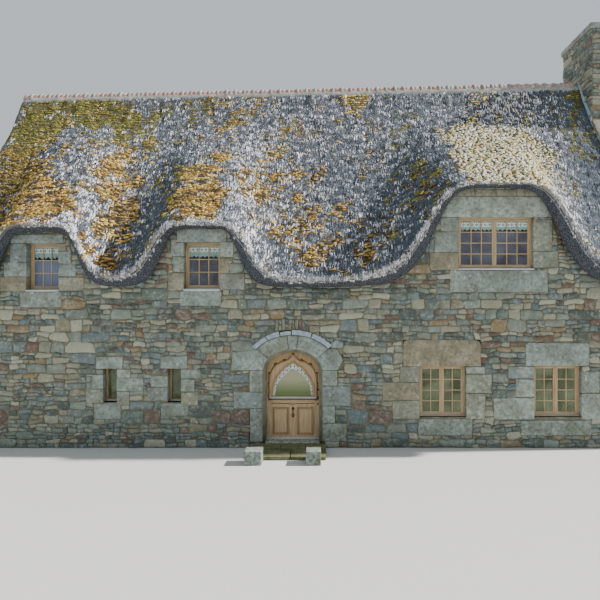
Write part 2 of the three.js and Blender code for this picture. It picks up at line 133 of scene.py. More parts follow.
class Shader:
    """One material's node tree, built node by node."""

    def __init__(self, name: str, roughness: float = 0.8, metallic: float = 0.0) -> None:
        """Starts a material.

        Args:
            name: the material's name.
            roughness: how matt it is where nothing is linked.
            metallic: 1 for bare metal.
        """
        self.material = bpy.data.materials.new(name)
        self.material.use_nodes = True
        self.tree = self.material.node_tree
        self.tree.nodes.clear()
        output = self.tree.nodes.new("ShaderNodeOutputMaterial")
        self.surface = self.tree.nodes.new("ShaderNodeBsdfPrincipled")
        self.tree.links.new(self.surface.outputs["BSDF"], output.inputs["Surface"])
        self.surface.inputs["Roughness"].default_value = roughness
        self.surface.inputs["Metallic"].default_value = metallic

    def feed(self, target: Socket, value: object) -> None:
        """Links a socket to an input, or sets the input's own value.

        Args:
            target: the input.
            value: a socket, a number, a colour or a name.
        """
        if isinstance(value, bpy.types.NodeSocket):
            self.tree.links.new(value, target)
        elif isinstance(value, tuple) and len(value) == 3 and target.type == "RGBA":
            target.default_value = (*value, 1.0)
        else:
            target.default_value = value

    def node(self, kind: str, **inputs: object) -> bpy.types.Node:
        """Adds a node and feeds its inputs by name, with _ for a blank.

        Args:
            kind: the node's type.
            inputs: what each input is fed, by the input's name.

        Returns:
            The node.
        """
        made = self.tree.nodes.new(kind)
        for name, value in inputs.items():
            self.feed(made.inputs[name.replace("_", " ")], value)
        return made

    def place(self, scale: Point = (1.0, 1.0, 1.0), turn: Point = (0.0, 0.0, 0.0)) -> Socket:
        """Object coordinates, stretched and turned.

        Args:
            scale: the stretch on each axis.
            turn: the turn about each axis, in radians.

        Returns:
            The vector socket.
        """
        coordinates = self.node("ShaderNodeTexCoord").outputs["Object"]
        return self.node("ShaderNodeMapping", Vector=coordinates, Scale=scale, Rotation=turn).outputs[0]

    def attribute(self, name: str) -> Socket:
        """The value that the mesh stores under a name."""
        made = self.node("ShaderNodeAttribute")
        made.attribute_name = name
        return made.outputs["Fac"]

    def flow(self, scale: Point) -> Socket:
        """The vector that the mesh stores as flow, which runs with the thatch, stretched."""
        made = self.node("ShaderNodeAttribute")
        made.attribute_name = "flow"
        return self.node("ShaderNodeMapping", Vector=made.outputs["Vector"], Scale=scale).outputs[0]

    def noise(self, place: Socket, scale: float, detail: float = 4.0, rough: float = 0.55) -> Socket:
        """Soft noise from 0 to 1.

        Args:
            place: the vector that it reads.
            scale: how many humps there are in a metre.
            detail: how many finer layers it has.
            rough: how strong the finer layers are.

        Returns:
            The factor socket.
        """
        made = self.node("ShaderNodeTexNoise", Vector=place, Scale=scale, Detail=detail, Roughness=rough)
        return made.outputs["Fac"]

    def cells(self, place: Socket, scale: float, feature: str = "F1") -> bpy.types.Node:
        """Cells with a distance and a colour each."""
        made = self.node("ShaderNodeTexVoronoi", Vector=place, Scale=scale)
        made.feature = feature
        return made

    def ramp(self, factor: Socket, stops: Sequence[tuple[float, Colour]], steps: bool = False) -> Socket:
        """Colours along a factor.

        Args:
            factor: the value that picks the colour.
            stops: places from 0 to 1 and their colours.
            steps: whether the colours change in steps.

        Returns:
            The colour socket.
        """
        made = self.node("ShaderNodeValToRGB", Fac=factor)
        ramp = made.color_ramp
        ramp.interpolation = "CONSTANT" if steps else "LINEAR"
        while len(ramp.elements) < len(stops):
            ramp.elements.new(0.5)
        for element, (position, colour) in zip(ramp.elements, stops):
            element.position = position
            element.color = (*colour, 1.0)
        return made.outputs["Color"]

    def span(self, value: Socket, low: float, high: float, start: float = 0.0, end: float = 1.0) -> Socket:
        """Maps low..high to start..end, and holds it there.

        Args:
            value: what is mapped.
            low: the value that gives start.
            high: the value that gives end.
            start: the result at and below low.
            end: the result at and above high.

        Returns:
            The mapped value.
        """
        made = self.tree.nodes.new("ShaderNodeMapRange")
        for socket, number in zip(made.inputs[:5], (value, low, high, start, end)):
            self.feed(socket, number)
        return made.outputs["Result"]

    def mix(self, factor: object, first: object, second: object) -> Socket:
        """Mixes two colours.

        Args:
            factor: 0 for the first, 1 for the second.
            first: a colour or socket.
            second: a colour or socket.

        Returns:
            The colour socket.
        """
        made = self.tree.nodes.new("ShaderNodeMix")
        made.data_type = "RGBA"
        self.feed(made.inputs[0], factor)
        self.feed(made.inputs[6], first)
        self.feed(made.inputs[7], second)
        return made.outputs[2]

    def calc(self, way: str, first: object, second: object = 0.0) -> Socket:
        """Works out one number from two.

        Args:
            way: the sum's name.
            first: a socket or a number.
            second: a socket or a number.

        Returns:
            The result.
        """
        made = self.tree.nodes.new("ShaderNodeMath")
        made.operation = way
        self.feed(made.inputs[0], first)
        self.feed(made.inputs[1], second)
        return made.outputs[0]

    def height(self) -> Socket:
        """The object's own Z in metres."""
        return self.node("ShaderNodeSeparateXYZ", Vector=self.place()).outputs["Z"]

    def done(self, colour: Socket, relief: Socket, depth: float, strength: float = 0.6) -> bpy.types.Material:
        """Links the colour and a bump to the surface.

        Args:
            colour: the colour socket.
            relief: the height of the fine relief, from 0 to 1.
            depth: how deep the relief is, in metres.
            strength: how much of it shows.

        Returns:
            The material.
        """
        self.feed(self.surface.inputs["Base Color"], colour)
        bump = self.node("ShaderNodeBump", Height=relief, Strength=strength, Distance=depth)
        self.feed(self.surface.inputs["Normal"], bump.outputs["Normal"])
        return self.material


@dataclass(frozen=True)
class RubbleFinish:
    """Field stones of many colours, each with one tint, mottling, grains and lichen."""

    name: str = "rubble_stone"
    depth: float = 0.012
    tints: tuple[Colour, ...] = (
        tone(130, 141, 128), tone(164, 161, 137), tone(107, 123, 114), tone(148, 142, 114),
        tone(111, 128, 130), tone(189, 188, 163), tone(121, 97, 81), tone(119, 135, 134),
        tone(91, 98, 89), tone(148, 147, 128), tone(144, 158, 145), tone(154, 132, 97),
        tone(170, 169, 145), tone(125, 134, 126), tone(88, 99, 93), tone(140, 147, 132),
    )

    def material(self) -> bpy.types.Material:
        """Builds the material.

        Returns:
            The material.
        """
        s = Shader(self.name, 0.92)
        place = s.place()
        stops = [(i / len(self.tints), colour) for i, colour in enumerate(self.tints)]
        base = s.ramp(s.attribute("tint"), stops, steps=True)
        mottle = s.noise(place, 34.0, 6.0, 0.75)
        base = s.mix(s.span(mottle, 0.42, 0.62, 0.0, 0.3), base, tone(66, 72, 68))
        base = s.mix(s.span(s.noise(place, 9.0, 5.0, 0.7), 0.46, 0.66, 0.0, 0.32), base, tone(204, 208, 198))
        grains = s.noise(place, 130.0, 3.0, 0.7)
        base = s.mix(s.span(grains, 0.35, 0.65, 0.0, 0.5), base, tone(54, 56, 48))
        spots = s.span(s.noise(place, 18.0, 5.0, 0.65), 0.57, 0.66)
        lichen = s.calc("MULTIPLY", spots, s.span(s.noise(place, 1.9, 2.0), 0.4, 0.6))
        base = s.mix(s.calc("MULTIPLY", lichen, 0.35), base, tone(200, 204, 186))
        damp = s.calc("MULTIPLY", s.span(s.height(), 0.05, 1.6, 0.5, 0.0), s.span(mottle, 0.35, 0.65))
        base = s.mix(damp, base, tone(58, 80, 84))
        relief = s.calc("ADD", s.calc("MULTIPLY", mottle, 1.2), s.calc("MULTIPLY", grains, 0.35))
        return s.done(base, relief, self.depth, 0.9)


@dataclass(frozen=True)
class GraniteFinish:
    """Dressed grey-green granite with dark and pale grains, stains and lichen."""

    name: str = "dressed_granite"
    depth: float = 0.006

    def material(self) -> bpy.types.Material:
        """Builds the material.

        Returns:
            The material.
        """
        s = Shader(self.name, 0.9)
        place = s.place()
        base = s.ramp(
            s.attribute("tint"),
            [(0.0, tone(172, 184, 172)), (0.35, tone(140, 154, 150)), (0.6, tone(146, 152, 136)),
             (0.85, tone(146, 134, 110)), (1.0, tone(126, 144, 148))],
        )
        cloud = s.noise(place, 3.2, 6.0, 0.65)
        base = s.mix(s.span(cloud, 0.44, 0.62, 0.0, 0.55), base, tone(96, 98, 74))
        base = s.mix(s.span(cloud, 0.28, 0.46, 0.5, 0.0), base, tone(184, 188, 168))
        patches = s.noise(place, 14.0, 6.0, 0.7)
        base = s.mix(s.span(patches, 0.46, 0.62, 0.0, 0.6), base, tone(78, 82, 70))
        dark = s.cells(place, 95.0)
        base = s.mix(s.span(dark.outputs["Distance"], 0.1, 0.35, 0.5, 0.0), base, tone(56, 58, 54))
        pale = s.noise(place, 190.0, 2.0, 0.7)
        base = s.mix(s.span(pale, 0.55, 0.75, 0.0, 0.5), base, tone(190, 194, 184))
        spots = s.span(s.noise(place, 11.0, 6.0, 0.7), 0.56, 0.68)
        lichen = s.calc("MULTIPLY", spots, s.span(s.noise(place, 1.3, 2.0), 0.42, 0.62))
        base = s.mix(s.calc("MULTIPLY", lichen, 0.7), base, tone(204, 210, 200))
        damp = s.span(s.height(), 0.0, 0.9, 0.65, 0.0)
        base = s.mix(s.calc("MULTIPLY", damp, s.span(patches, 0.35, 0.6)), base, tone(60, 68, 46))
        relief = s.calc("ADD", s.noise(place, 32.0, 6.0, 0.7), s.calc("MULTIPLY", pale, 0.3))
        return s.done(base, relief, self.depth, 0.9)


@dataclass(frozen=True)
class MortarFinish:
    """Sandy lime mortar, darker and mossy near the ground."""

    name: str = "lime_mortar"
    colour: Colour = tone(96, 95, 78)
    pale: Colour = tone(142, 138, 115)

    def material(self) -> bpy.types.Material:
        """Builds the material.

        Returns:
            The material.
        """
        s = Shader(self.name, 0.95)
        place = s.place()
        base = s.mix(s.span(s.noise(place, 6.0, 4.0), 0.35, 0.7), self.colour, self.pale)
        sand = s.noise(place, 240.0, 2.0, 0.7)
        base = s.mix(s.span(sand, 0.35, 0.65, 0.0, 0.45), base, tone(92, 88, 74))
        damp = s.span(s.height(), 0.0, 0.8, 0.6, 0.0)
        base = s.mix(s.calc("MULTIPLY", damp, s.noise(place, 4.0)), base, tone(62, 66, 44))
        return s.done(base, s.calc("ADD", sand, s.noise(place, 30.0, 5.0)), 0.005, 0.7)


@dataclass(frozen=True)
class ThatchFinish:
    """Weathered reed that runs down the slope, with grey, straw and mossy patches."""

    name: str = "weathered_thatch"

    def material(self) -> bpy.types.Material:
        """Builds the material.

        Returns:
            The material.
        """
        s = Shader(self.name, 0.95)
        reeds = s.flow((1.0, 0.14, 1.0))
        tufts = s.flow((1.0, 0.4, 1.0))
        fleck = s.noise(tufts, 24.0, 6.0, 0.8)
        streak = s.noise(reeds, 66.0, 4.0, 0.7)
        base = s.ramp(
            s.calc("ADD", s.calc("MULTIPLY", fleck, 0.6), s.calc("MULTIPLY", streak, 0.4)),
            [(0.4, tone(18, 21, 27)), (0.48, tone(54, 61, 72)), (0.54, tone(100, 107, 116)),
             (0.6, tone(166, 167, 170)), (0.7, tone(228, 222, 216))],
        )
        blotch = s.noise(s.flow((1.0, 0.7, 1.0)), 1.1, 3.0)
        base = s.mix(s.span(blotch, 0.4, 0.62, 0.4, 0.0), base, tone(58, 66, 78))
        # Where the painted light is below 0 the reed turns blue-grey: painted shade on left-leaning faces and
        # in the chimney's painted shadow.
        base = s.mix(s.span(s.attribute("bleach"), -0.2, 0.0, 0.6, 0.0), base, tone(76, 90, 104))
        ledges = s.noise(s.flow((0.55, 1.0, 1.0)), 15.0, 5.0, 0.65)
        soft = s.span(s.noise(tufts, 9.0, 5.0, 0.7), 0.35, 0.65, -0.35, 0.35)
        moss = s.span(s.calc("ADD", s.attribute("moss"), soft), 0.25, 0.5)
        # The dark low end of the ledges is painted shade beneath the moss's ledges; the fibre and tips are
        # the moss's own brown and gold.
        ledge_shade, fibre, tips = tone(34, 27, 15), tone(98, 76, 37), tone(186, 154, 88)
        mossy = s.ramp(ledges, [(0.45, ledge_shade), (0.57, fibre), (0.69, tips)])
        mossy = s.mix(s.span(s.height(), 6.3, 7.5, 0.0, 0.4), mossy, tone(92, 98, 50))
        base = s.mix(moss, base, mossy)
        lemon = s.span(s.calc("ADD", s.attribute("lemon"), soft), 0.25, 0.5)
        # Under the lichen the dark low end is painted shade in the cracks between the cushions.
        cream = s.ramp(ledges, [(0.4, tone(24, 22, 16)), (0.54, tone(58, 54, 36)), (0.7, tone(130, 124, 92))])
        base = s.mix(lemon, base, cream)
        # Paler reed over the eave's lip is a painted highlight; on the cut face and underside, pale reed ends
        # stand between dark gaps whose darkness is painted shade.
        edge = s.attribute("edge")
        base = s.mix(s.span(edge, 0.1, 0.45, 0.0, 0.45), base, tone(214, 206, 190))
        ends = s.cells(s.place(), 70.0).outputs["Distance"]
        reed, rind, gap = tone(164, 168, 176), tone(104, 111, 122), tone(44, 48, 56)
        cut = s.ramp(ends, [(0.1, reed), (0.32, rind), (0.55, gap)])
        base = s.mix(s.span(edge, 0.55, 0.8), base, cut)
        relief = s.calc("ADD", fleck, s.calc("MULTIPLY", streak, 0.5))
        return s.done(base, relief, 0.06, 1.0)


@dataclass(frozen=True)
class StrawFinish:
    """Reed ends and tufts, each with its own tint, which also carries painted sunlight and shade."""

    name: str = "reed_tufts"
    stops: tuple[tuple[float, Colour], ...] = (
        (0.0, tone(40, 44, 49)),
        (0.25, tone(76, 84, 94)),
        (0.5, tone(118, 129, 142)),
        (0.72, tone(196, 200, 210)),
        (1.0, tone(255, 250, 246)),
    )

    def material(self) -> bpy.types.Material:
        """Builds the material.

        Returns:
            The material.
        """
        s = Shader(self.name, 0.9)
        fine = s.noise(s.place(), 38.0, 3.0, 0.7)
        shade = s.calc("ADD", s.attribute("tint"), s.span(fine, 0.3, 0.7, -0.45, 0.45))
        base = s.ramp(shade, list(self.stops))
        return s.done(base, fine, 0.004, 0.6)


@dataclass(frozen=True)
class MossFinish:
    """Cushions of moss and lichen, from olive through orange to lemon."""

    name: str = "roof_moss"
    stops: tuple[tuple[float, Colour], ...] = (
        (0.0, tone(106, 110, 50)),
        (0.12, tone(156, 152, 70)),
        (0.25, tone(116, 84, 42)),
        (0.55, tone(206, 162, 82)),
        (0.78, tone(244, 214, 122)),
        (0.86, tone(226, 219, 156)),
        (1.0, tone(255, 253, 236)),
    )

    def material(self) -> bpy.types.Material:
        """Builds the material.

        Returns:
            The material.
        """
        s = Shader(self.name, 0.95)
        base = s.ramp(s.attribute("tint"), list(self.stops))
        fine = s.noise(s.place(), 32.0, 5.0, 0.8)
        base = s.mix(s.span(fine, 0.36, 0.54, 0.7, 0.0), base, tone(62, 50, 26))
        return s.done(base, fine, 0.012, 1.0)


@dataclass(frozen=True)
class ClayFinish:
    """Weathered red clay with lichen."""

    name: str = "ridge_clay"

    def material(self) -> bpy.types.Material:
        """Builds the material.

        Returns:
            The material.
        """
        s = Shader(self.name, 0.85)
        place = s.place()
        base = s.ramp(
            s.attribute("tint"),
            [(0.0, tone(186, 122, 104)), (0.5, tone(206, 150, 134)), (1.0, tone(168, 108, 94))],
        )
        base = s.mix(s.span(s.noise(place, 7.0, 4.0), 0.48, 0.64, 0.0, 0.8), base, tone(196, 196, 196))
        base = s.mix(s.span(s.noise(place, 30.0, 4.0), 0.55, 0.7, 0.0, 0.5), base, tone(92, 80, 70))
        return s.done(base, s.noise(place, 80.0, 4.0), 0.004, 0.6)


@dataclass(frozen=True)
class OakFinish:
    """Oiled oak whose grain runs one way."""

    grain: Grain
    name: str = "oiled_oak"
    dark: Colour = tone(132, 105, 73)
    mid: Colour = tone(183, 156, 118)
    pale: Colour = tone(210, 187, 151)

    def material(self) -> bpy.types.Material:
        """Builds the material.

        Returns:
            The material.
        """
        s = Shader(f"{self.name}_{self.grain.name.lower()}", 0.55)
        place = s.place(self.grain.value)
        rings = s.noise(place, 3.0, 5.0, 0.6)
        base = s.ramp(rings, [(0.2, self.dark), (0.5, self.mid), (0.8, self.pale)])
        pores = s.noise(s.place(tuple(4 * part for part in self.grain.value)), 5.0, 2.0, 0.7)
        base = s.mix(s.span(pores, 0.3, 0.5, 0.4, 0.0), base, tone(104, 80, 54))
        cloud = s.noise(s.place(), 2.5, 2.0)
        base = s.mix(s.span(cloud, 0.4, 0.7, 0.0, 0.35), base, tone(168, 146, 112))
        return s.done(base, pores, 0.0015, 0.5)


@dataclass(frozen=True)
class PlainFinish:
    """One colour broken up by soft noise, for metals, boards and the like."""

    name: str
    colour: Colour
    worn: Colour
    roughness: float = 0.6
    metallic: float = 0.0
    scale: float = 20.0
    depth: float = 0.002

    def material(self) -> bpy.types.Material:
        """Builds the material.

        Returns:
            The material.
        """
        s = Shader(self.name, self.roughness, self.metallic)
        place = s.place()
        cloud = s.noise(place, self.scale, 5.0, 0.6)
        base = s.mix(s.span(cloud, 0.35, 0.7), self.colour, self.worn)
        return s.done(base, s.noise(place, self.scale * 6, 4.0), self.depth, 0.5)


@dataclass(frozen=True)
class GlassFinish:
    """Old window glass that mirrors a little and lets the dark room show; its colour is a painted reflection,
    and where it is dark it is painted shade of the room behind.

    Its colour goes from low to high with the height, or in soft clouds, as a painted reflection, and the
    panes left of the border on the house's X take on a painted reflection of the blue sky by the share that
    left gives.
    """

    name: str = "window_glass"
    cover: float = 0.04
    low: Colour = tone(84, 98, 104)
    high: Colour = tone(122, 136, 146)
    rise: Optional[Flat] = None
    left: float = 0.0
    border: Flat = (-4.6, -4.0)
    blue: Colour = tone(132, 150, 180)

    def material(self) -> bpy.types.Material:
        """Builds the material.

        Returns:
            The material.
        """
        s = Shader(self.name, 0.04)
        s.surface.inputs["Alpha"].default_value = self.cover
        place = s.place()
        share = s.span(s.height(), *self.rise) if self.rise else s.span(s.noise(place, 2.6), 0.35, 0.65)
        across = s.node("ShaderNodeSeparateXYZ", Vector=place).outputs["X"]
        # A painted reflection of the blue sky on the panes left of the border.
        painted_sky_reflection = s.span(across, *self.border, self.left, 0.0)
        base = s.mix(painted_sky_reflection, s.mix(share, self.low, self.high), self.blue)
        return s.done(base, s.noise(place, 5.0, 1.0), 0.002, 0.15)


@dataclass(frozen=True)
class LaceFinish:
    """White net with rings, open between its threads, with a close fringe where the tint is high."""

    name: str = "window_lace"
    row: bool = False

    def material(self) -> bpy.types.Material:
        """Builds the material, with one row of rings on the piece's own flow or with rings all over.

        Returns:
            The material.
        """
        s = Shader(self.name, 0.85)
        place = s.flow((1.0, 1.0, 0.0)) if self.row else s.place((1.0, 0.0, 1.0))
        many = 10.0 if self.row else 12.0
        circles = s.cells(place, many)
        circles.inputs["Randomness"].default_value = 0.0
        rings = circles.outputs["Distance"]
        ring = s.calc("MULTIPLY", s.span(rings, 0.16, 0.22), s.span(rings, 0.4, 0.46, 1.0, 0.0))
        if self.row:
            below = s.node("ShaderNodeSeparateXYZ", Vector=place).outputs["Y"]
            started = s.calc("GREATER_THAN", below, 0.0)
            first = s.calc("MULTIPLY", started, s.calc("LESS_THAN", below, 1 / many))
            ring = s.calc("MULTIPLY", ring, first)
        net = s.span(s.cells(place, 130.0, "DISTANCE_TO_EDGE").outputs["Distance"], 0.06, 0.09, 1.0, 0.0)
        fringe = s.span(s.attribute("tint"), 0.6, 0.9)
        veil = 0.5 if self.row else 0.1
        cover = s.calc("MAXIMUM", s.calc("MAXIMUM", ring, net), s.calc("MAXIMUM", fringe, veil))
        s.feed(s.surface.inputs["Alpha"], cover)
        base = s.mix(ring, tone(170, 206, 200) if self.row else tone(196, 210, 208), tone(250, 254, 250))
        return s.done(base, net, 0.001, 0.4)


@dataclass
class Spot:
    """One place of a repeated shape: where it stands, its turn and size, its tint and its shape's number."""

    place: Point
    turn: Point
    size: Point
    tint: float
    shape: int


@dataclass
class Shape:
    """A small shape's points and faces."""

    points: list[Point]
    faces: list[tuple[int, ...]]

    def mesh(self, name: str) -> bpy.types.Mesh:
        """Makes the shape a mesh."""
        made = bpy.data.meshes.new(name)
        made.from_pydata(self.points, [], self.faces)
        return made


def scatter_tree(name: str) -> bpy.types.NodeTree:
    """Builds a tree that sets shapes on points by their stored turn, size and shape, and ruffles them.

    Args:
        name: the tree's name.

    Returns:
        The tree, with inputs Points, Shapes, Ruffle, Grain and Finish.
    """
    tree = bpy.data.node_groups.new(name, "GeometryNodeTree")
    sides = tree.interface
    sides.new_socket("Points", in_out="INPUT", socket_type="NodeSocketGeometry")
    sides.new_socket("Shapes", in_out="INPUT", socket_type="NodeSocketCollection")
    sides.new_socket("Ruffle", in_out="INPUT", socket_type="NodeSocketVector")
    sides.new_socket("Grain", in_out="INPUT", socket_type="NodeSocketFloat")
    sides.new_socket("Finish", in_out="INPUT", socket_type="NodeSocketMaterial")
    sides.new_socket("Geometry", in_out="OUTPUT", socket_type="NodeSocketGeometry")
    nodes = tree.nodes
    join = tree.links.new
    start = nodes.new("NodeGroupInput").outputs
    shapes = nodes.new("GeometryNodeCollectionInfo")
    shapes.inputs["Separate Children"].default_value = True
    shapes.inputs["Reset Children"].default_value = True
    join(start["Shapes"], shapes.inputs["Collection"])
    copies = nodes.new("GeometryNodeInstanceOnPoints")
    copies.inputs["Pick Instance"].default_value = True
    join(start["Points"], copies.inputs["Points"])
    join(shapes.outputs["Instances"], copies.inputs["Instance"])
    stored = (("INT", "shape", "Instance Index"), ("FLOAT_VECTOR", "turn", "Rotation"),
              ("FLOAT_VECTOR", "size", "Scale"))
    for kind, attribute, target in stored:
        read = nodes.new("GeometryNodeInputNamedAttribute")
        read.data_type = kind
        read.inputs["Name"].default_value = attribute
        join(read.outputs["Attribute"], copies.inputs[target])
    real = nodes.new("GeometryNodeRealizeInstances")
    join(copies.outputs["Instances"], real.inputs["Geometry"])
    wobble = nodes.new("ShaderNodeTexNoise")
    join(start["Grain"], wobble.inputs["Scale"])
    centre = nodes.new("ShaderNodeVectorMath")
    centre.operation = "SUBTRACT"
    centre.inputs[1].default_value = (0.5, 0.5, 0.5)
    join(wobble.outputs["Color"], centre.inputs[0])
    reach = nodes.new("ShaderNodeVectorMath")
    reach.operation = "MULTIPLY"
    join(centre.outputs["Vector"], reach.inputs[0])
    join(start["Ruffle"], reach.inputs[1])
    shift = nodes.new("GeometryNodeSetPosition")
    join(real.outputs["Geometry"], shift.inputs["Geometry"])
    join(reach.outputs["Vector"], shift.inputs["Offset"])
    finish = nodes.new("GeometryNodeSetMaterial")
    join(shift.outputs["Geometry"], finish.inputs["Geometry"])
    join(start["Finish"], finish.inputs["Material"])
    join(finish.outputs["Geometry"], nodes.new("NodeGroupOutput").inputs["Geometry"])
    return tree


@dataclass
class Scatter:
    """Many small shapes that Geometry Nodes sets on points and joins into one piece."""

    name: str
    shapes: Sequence[Shape]
    material: bpy.types.Material
    ruffle: Point = (0.0, 0.0, 0.0)
    grain: float = 4.0
    smooth: bool = True
    spots: list[Spot] = field(default_factory=list)

    def points(self) -> bpy.types.Mesh:
        """The spots as a mesh of loose points with their values.

        Returns:
            The mesh of points.
        """
        mesh = bpy.data.meshes.new(f"{self.name}_points")
        mesh.from_pydata([spot.place for spot in self.spots], [], [])
        for name in ("turn", "size"):
            values = np.array([getattr(spot, name) for spot in self.spots], dtype=np.float32)
            mesh.attributes.new(name, "FLOAT_VECTOR", "POINT").data.foreach_set("vector", values.ravel())
        tints = [spot.tint for spot in self.spots]
        mesh.attributes.new("tint", "FLOAT", "POINT").data.foreach_set("value", tints)
        picks = [spot.shape for spot in self.spots]
        mesh.attributes.new("shape", "INT", "POINT").data.foreach_set("value", picks)
        return mesh

    def build(self, body: str = "root") -> bpy.types.Object:
        """Runs the tree once, keeps its plain mesh and gives it to a body.

        Args:
            body: the body that the piece rides on.

        Returns:
            The joined piece.
        """
        stock = bpy.data.collections.new(f"{self.name}_shapes")
        for i, shape in enumerate(self.shapes):
            name = f"{self.name}_{i:02d}"
            stock.objects.link(bpy.data.objects.new(name, shape.mesh(name)))
        tree = scatter_tree(f"{self.name}_scatter")
        host = bpy.data.objects.new(f"{self.name}_host", self.points())
        bpy.context.scene.collection.objects.link(host)
        modifier = host.modifiers.new("scatter", "NODES")
        modifier.node_group = tree
        values = {"Shapes": stock, "Ruffle": self.ruffle, "Grain": self.grain, "Finish": self.material}
        for item in tree.interface.items_tree:
            if item.item_type == "SOCKET" and item.name in values:
                modifier[item.identifier] = values[item.name]
        graph = bpy.context.evaluated_depsgraph_get()
        mesh = bpy.data.meshes.new_from_object(host.evaluated_get(graph))
        bpy.data.objects.remove(host)
        for part in list(stock.objects):
            bpy.data.objects.remove(part)
        bpy.data.collections.remove(stock)
        bpy.data.node_groups.remove(tree)
        mesh.name = self.name
        mesh.shade_smooth() if self.smooth else mesh.shade_flat()
        return place(self.name, mesh, body)


def place(name: str, mesh: bpy.types.Mesh, body: str = "root") -> bpy.types.Object:
    """Puts a mesh into the scene as one piece of a body, inside the CAD's own reach.

    Args:
        name: the piece's name.
        mesh: the mesh, with its materials.
        body: the body that it rides on.

    Returns:
        The piece.
    """
    points = np.empty(len(mesh.vertices) * 3, dtype=np.float32)
    mesh.vertices.foreach_get("co", points)
    inside = np.clip(points.reshape(-1, 3), *(np.array(corner, dtype=np.float32) for corner in REACH))
    mesh.vertices.foreach_set("co", inside.ravel())
    piece = bpy.data.objects.new(name, mesh)
    bpy.context.scene.collection.objects.link(piece)
    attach(piece, body)
    triangles = sum(len(face.vertices) - 2 for face in mesh.polygons)
    log.info("%s: %d triangles on %s", name, triangles, body)
    return piece


class Gather:
    """Gathers solids into one mesh, each with its own finish and tint."""

    def __init__(self, name: str, finishes: Sequence[bpy.types.Material], smooth: bool = False) -> None:
        """Starts an empty mesh.

        Args:
            name: the piece's name.
            finishes: its materials, picked by number.
            smooth: whether the faces are shaded smoothly.
        """
        self.name = name
        self.finishes = finishes
        self.smooth = smooth
        self.points: list[Point] = []
        self.faces: list[tuple[int, ...]] = []
        self.picks: list[int] = []
        self.tints: list[float] = []

    def add(self, shape: Shape, finish: int = 0, tint: float = 0.5) -> None:
        """Adds a shape with a finish and a tint.

        Args:
            shape: the points and faces.
            finish: its place in the piece's list of finishes.
            tint: its shade, from 0 to 1.
        """
        first = len(self.points)
        self.points.extend(shape.points)
        self.faces.extend(tuple(first + corner for corner in face) for face in shape.faces)
        self.picks.extend([finish] * len(shape.faces))
        self.tints.extend([tint] * len(shape.points))

    def build(self, body: str = "root", replaces: Sequence[str] = ()) -> bpy.types.Object:
        """Makes the piece.

        Args:
            body: the body that it rides on.
            replaces: the CAD nodes whose place it takes.

        Returns:
            The piece.
        """
        mesh = bpy.data.meshes.new(self.name)
        mesh.from_pydata(self.points, [], self.faces)
        for finish in self.finishes:
            mesh.materials.append(finish)
        mesh.polygons.foreach_set("material_index", self.picks)
        mesh.attributes.new("tint", "FLOAT", "POINT").data.foreach_set("value", self.tints)
        mesh.shade_smooth() if self.smooth else mesh.shade_flat()
        piece = place(self.name, mesh, body)
        if replaces:
            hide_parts(*replaces)
        return piece


def shape_of(built: bmesh.types.BMesh) -> Shape:
    """Takes the points and faces out of a bmesh and frees it.

    Args:
        built: the bmesh, which is freed.

    Returns:
        Its points and faces.
    """
    built.verts.index_update()
    points = [tuple(vert.co) for vert in built.verts]
    faces = [tuple(vert.index for vert in face.verts) for face in built.faces]
    built.free()
    return Shape(points, faces)


def slab(outline: Sequence[Flat], span: Flat, lift: Lift) -> bmesh.types.BMesh:
    """Gives an outline thickness, with its faces outward.

    Args:
        outline: the corners, anticlockwise for someone who sees the near side.
        span: the near and the far end of the thickness.
        lift: turns a corner's two values and a depth into a point.

    Returns:
        The closed solid.
    """
    built = bmesh.new()
    near = [built.verts.new(lift(a, b, span[0])) for a, b in outline]
    far = [built.verts.new(lift(a, b, span[1])) for a, b in outline]
    built.faces.new(near)
    built.faces.new(far[::-1])
    for i in range(len(outline)):
        following = (i + 1) % len(outline)
        built.faces.new((near[following], near[i], far[i], far[following]))
    bmesh.ops.recalc_face_normals(built, faces=built.faces)
    return built


def upright_wall(x: float, z: float, depth: float) -> Point:
    """A corner of an outline in the front wall's plane."""
    return (x, depth, z)


def cross_wall(y: float, z: float, depth: float) -> Point:
    """A corner of an outline in a plane across the ridge."""
    return (depth, y, z)


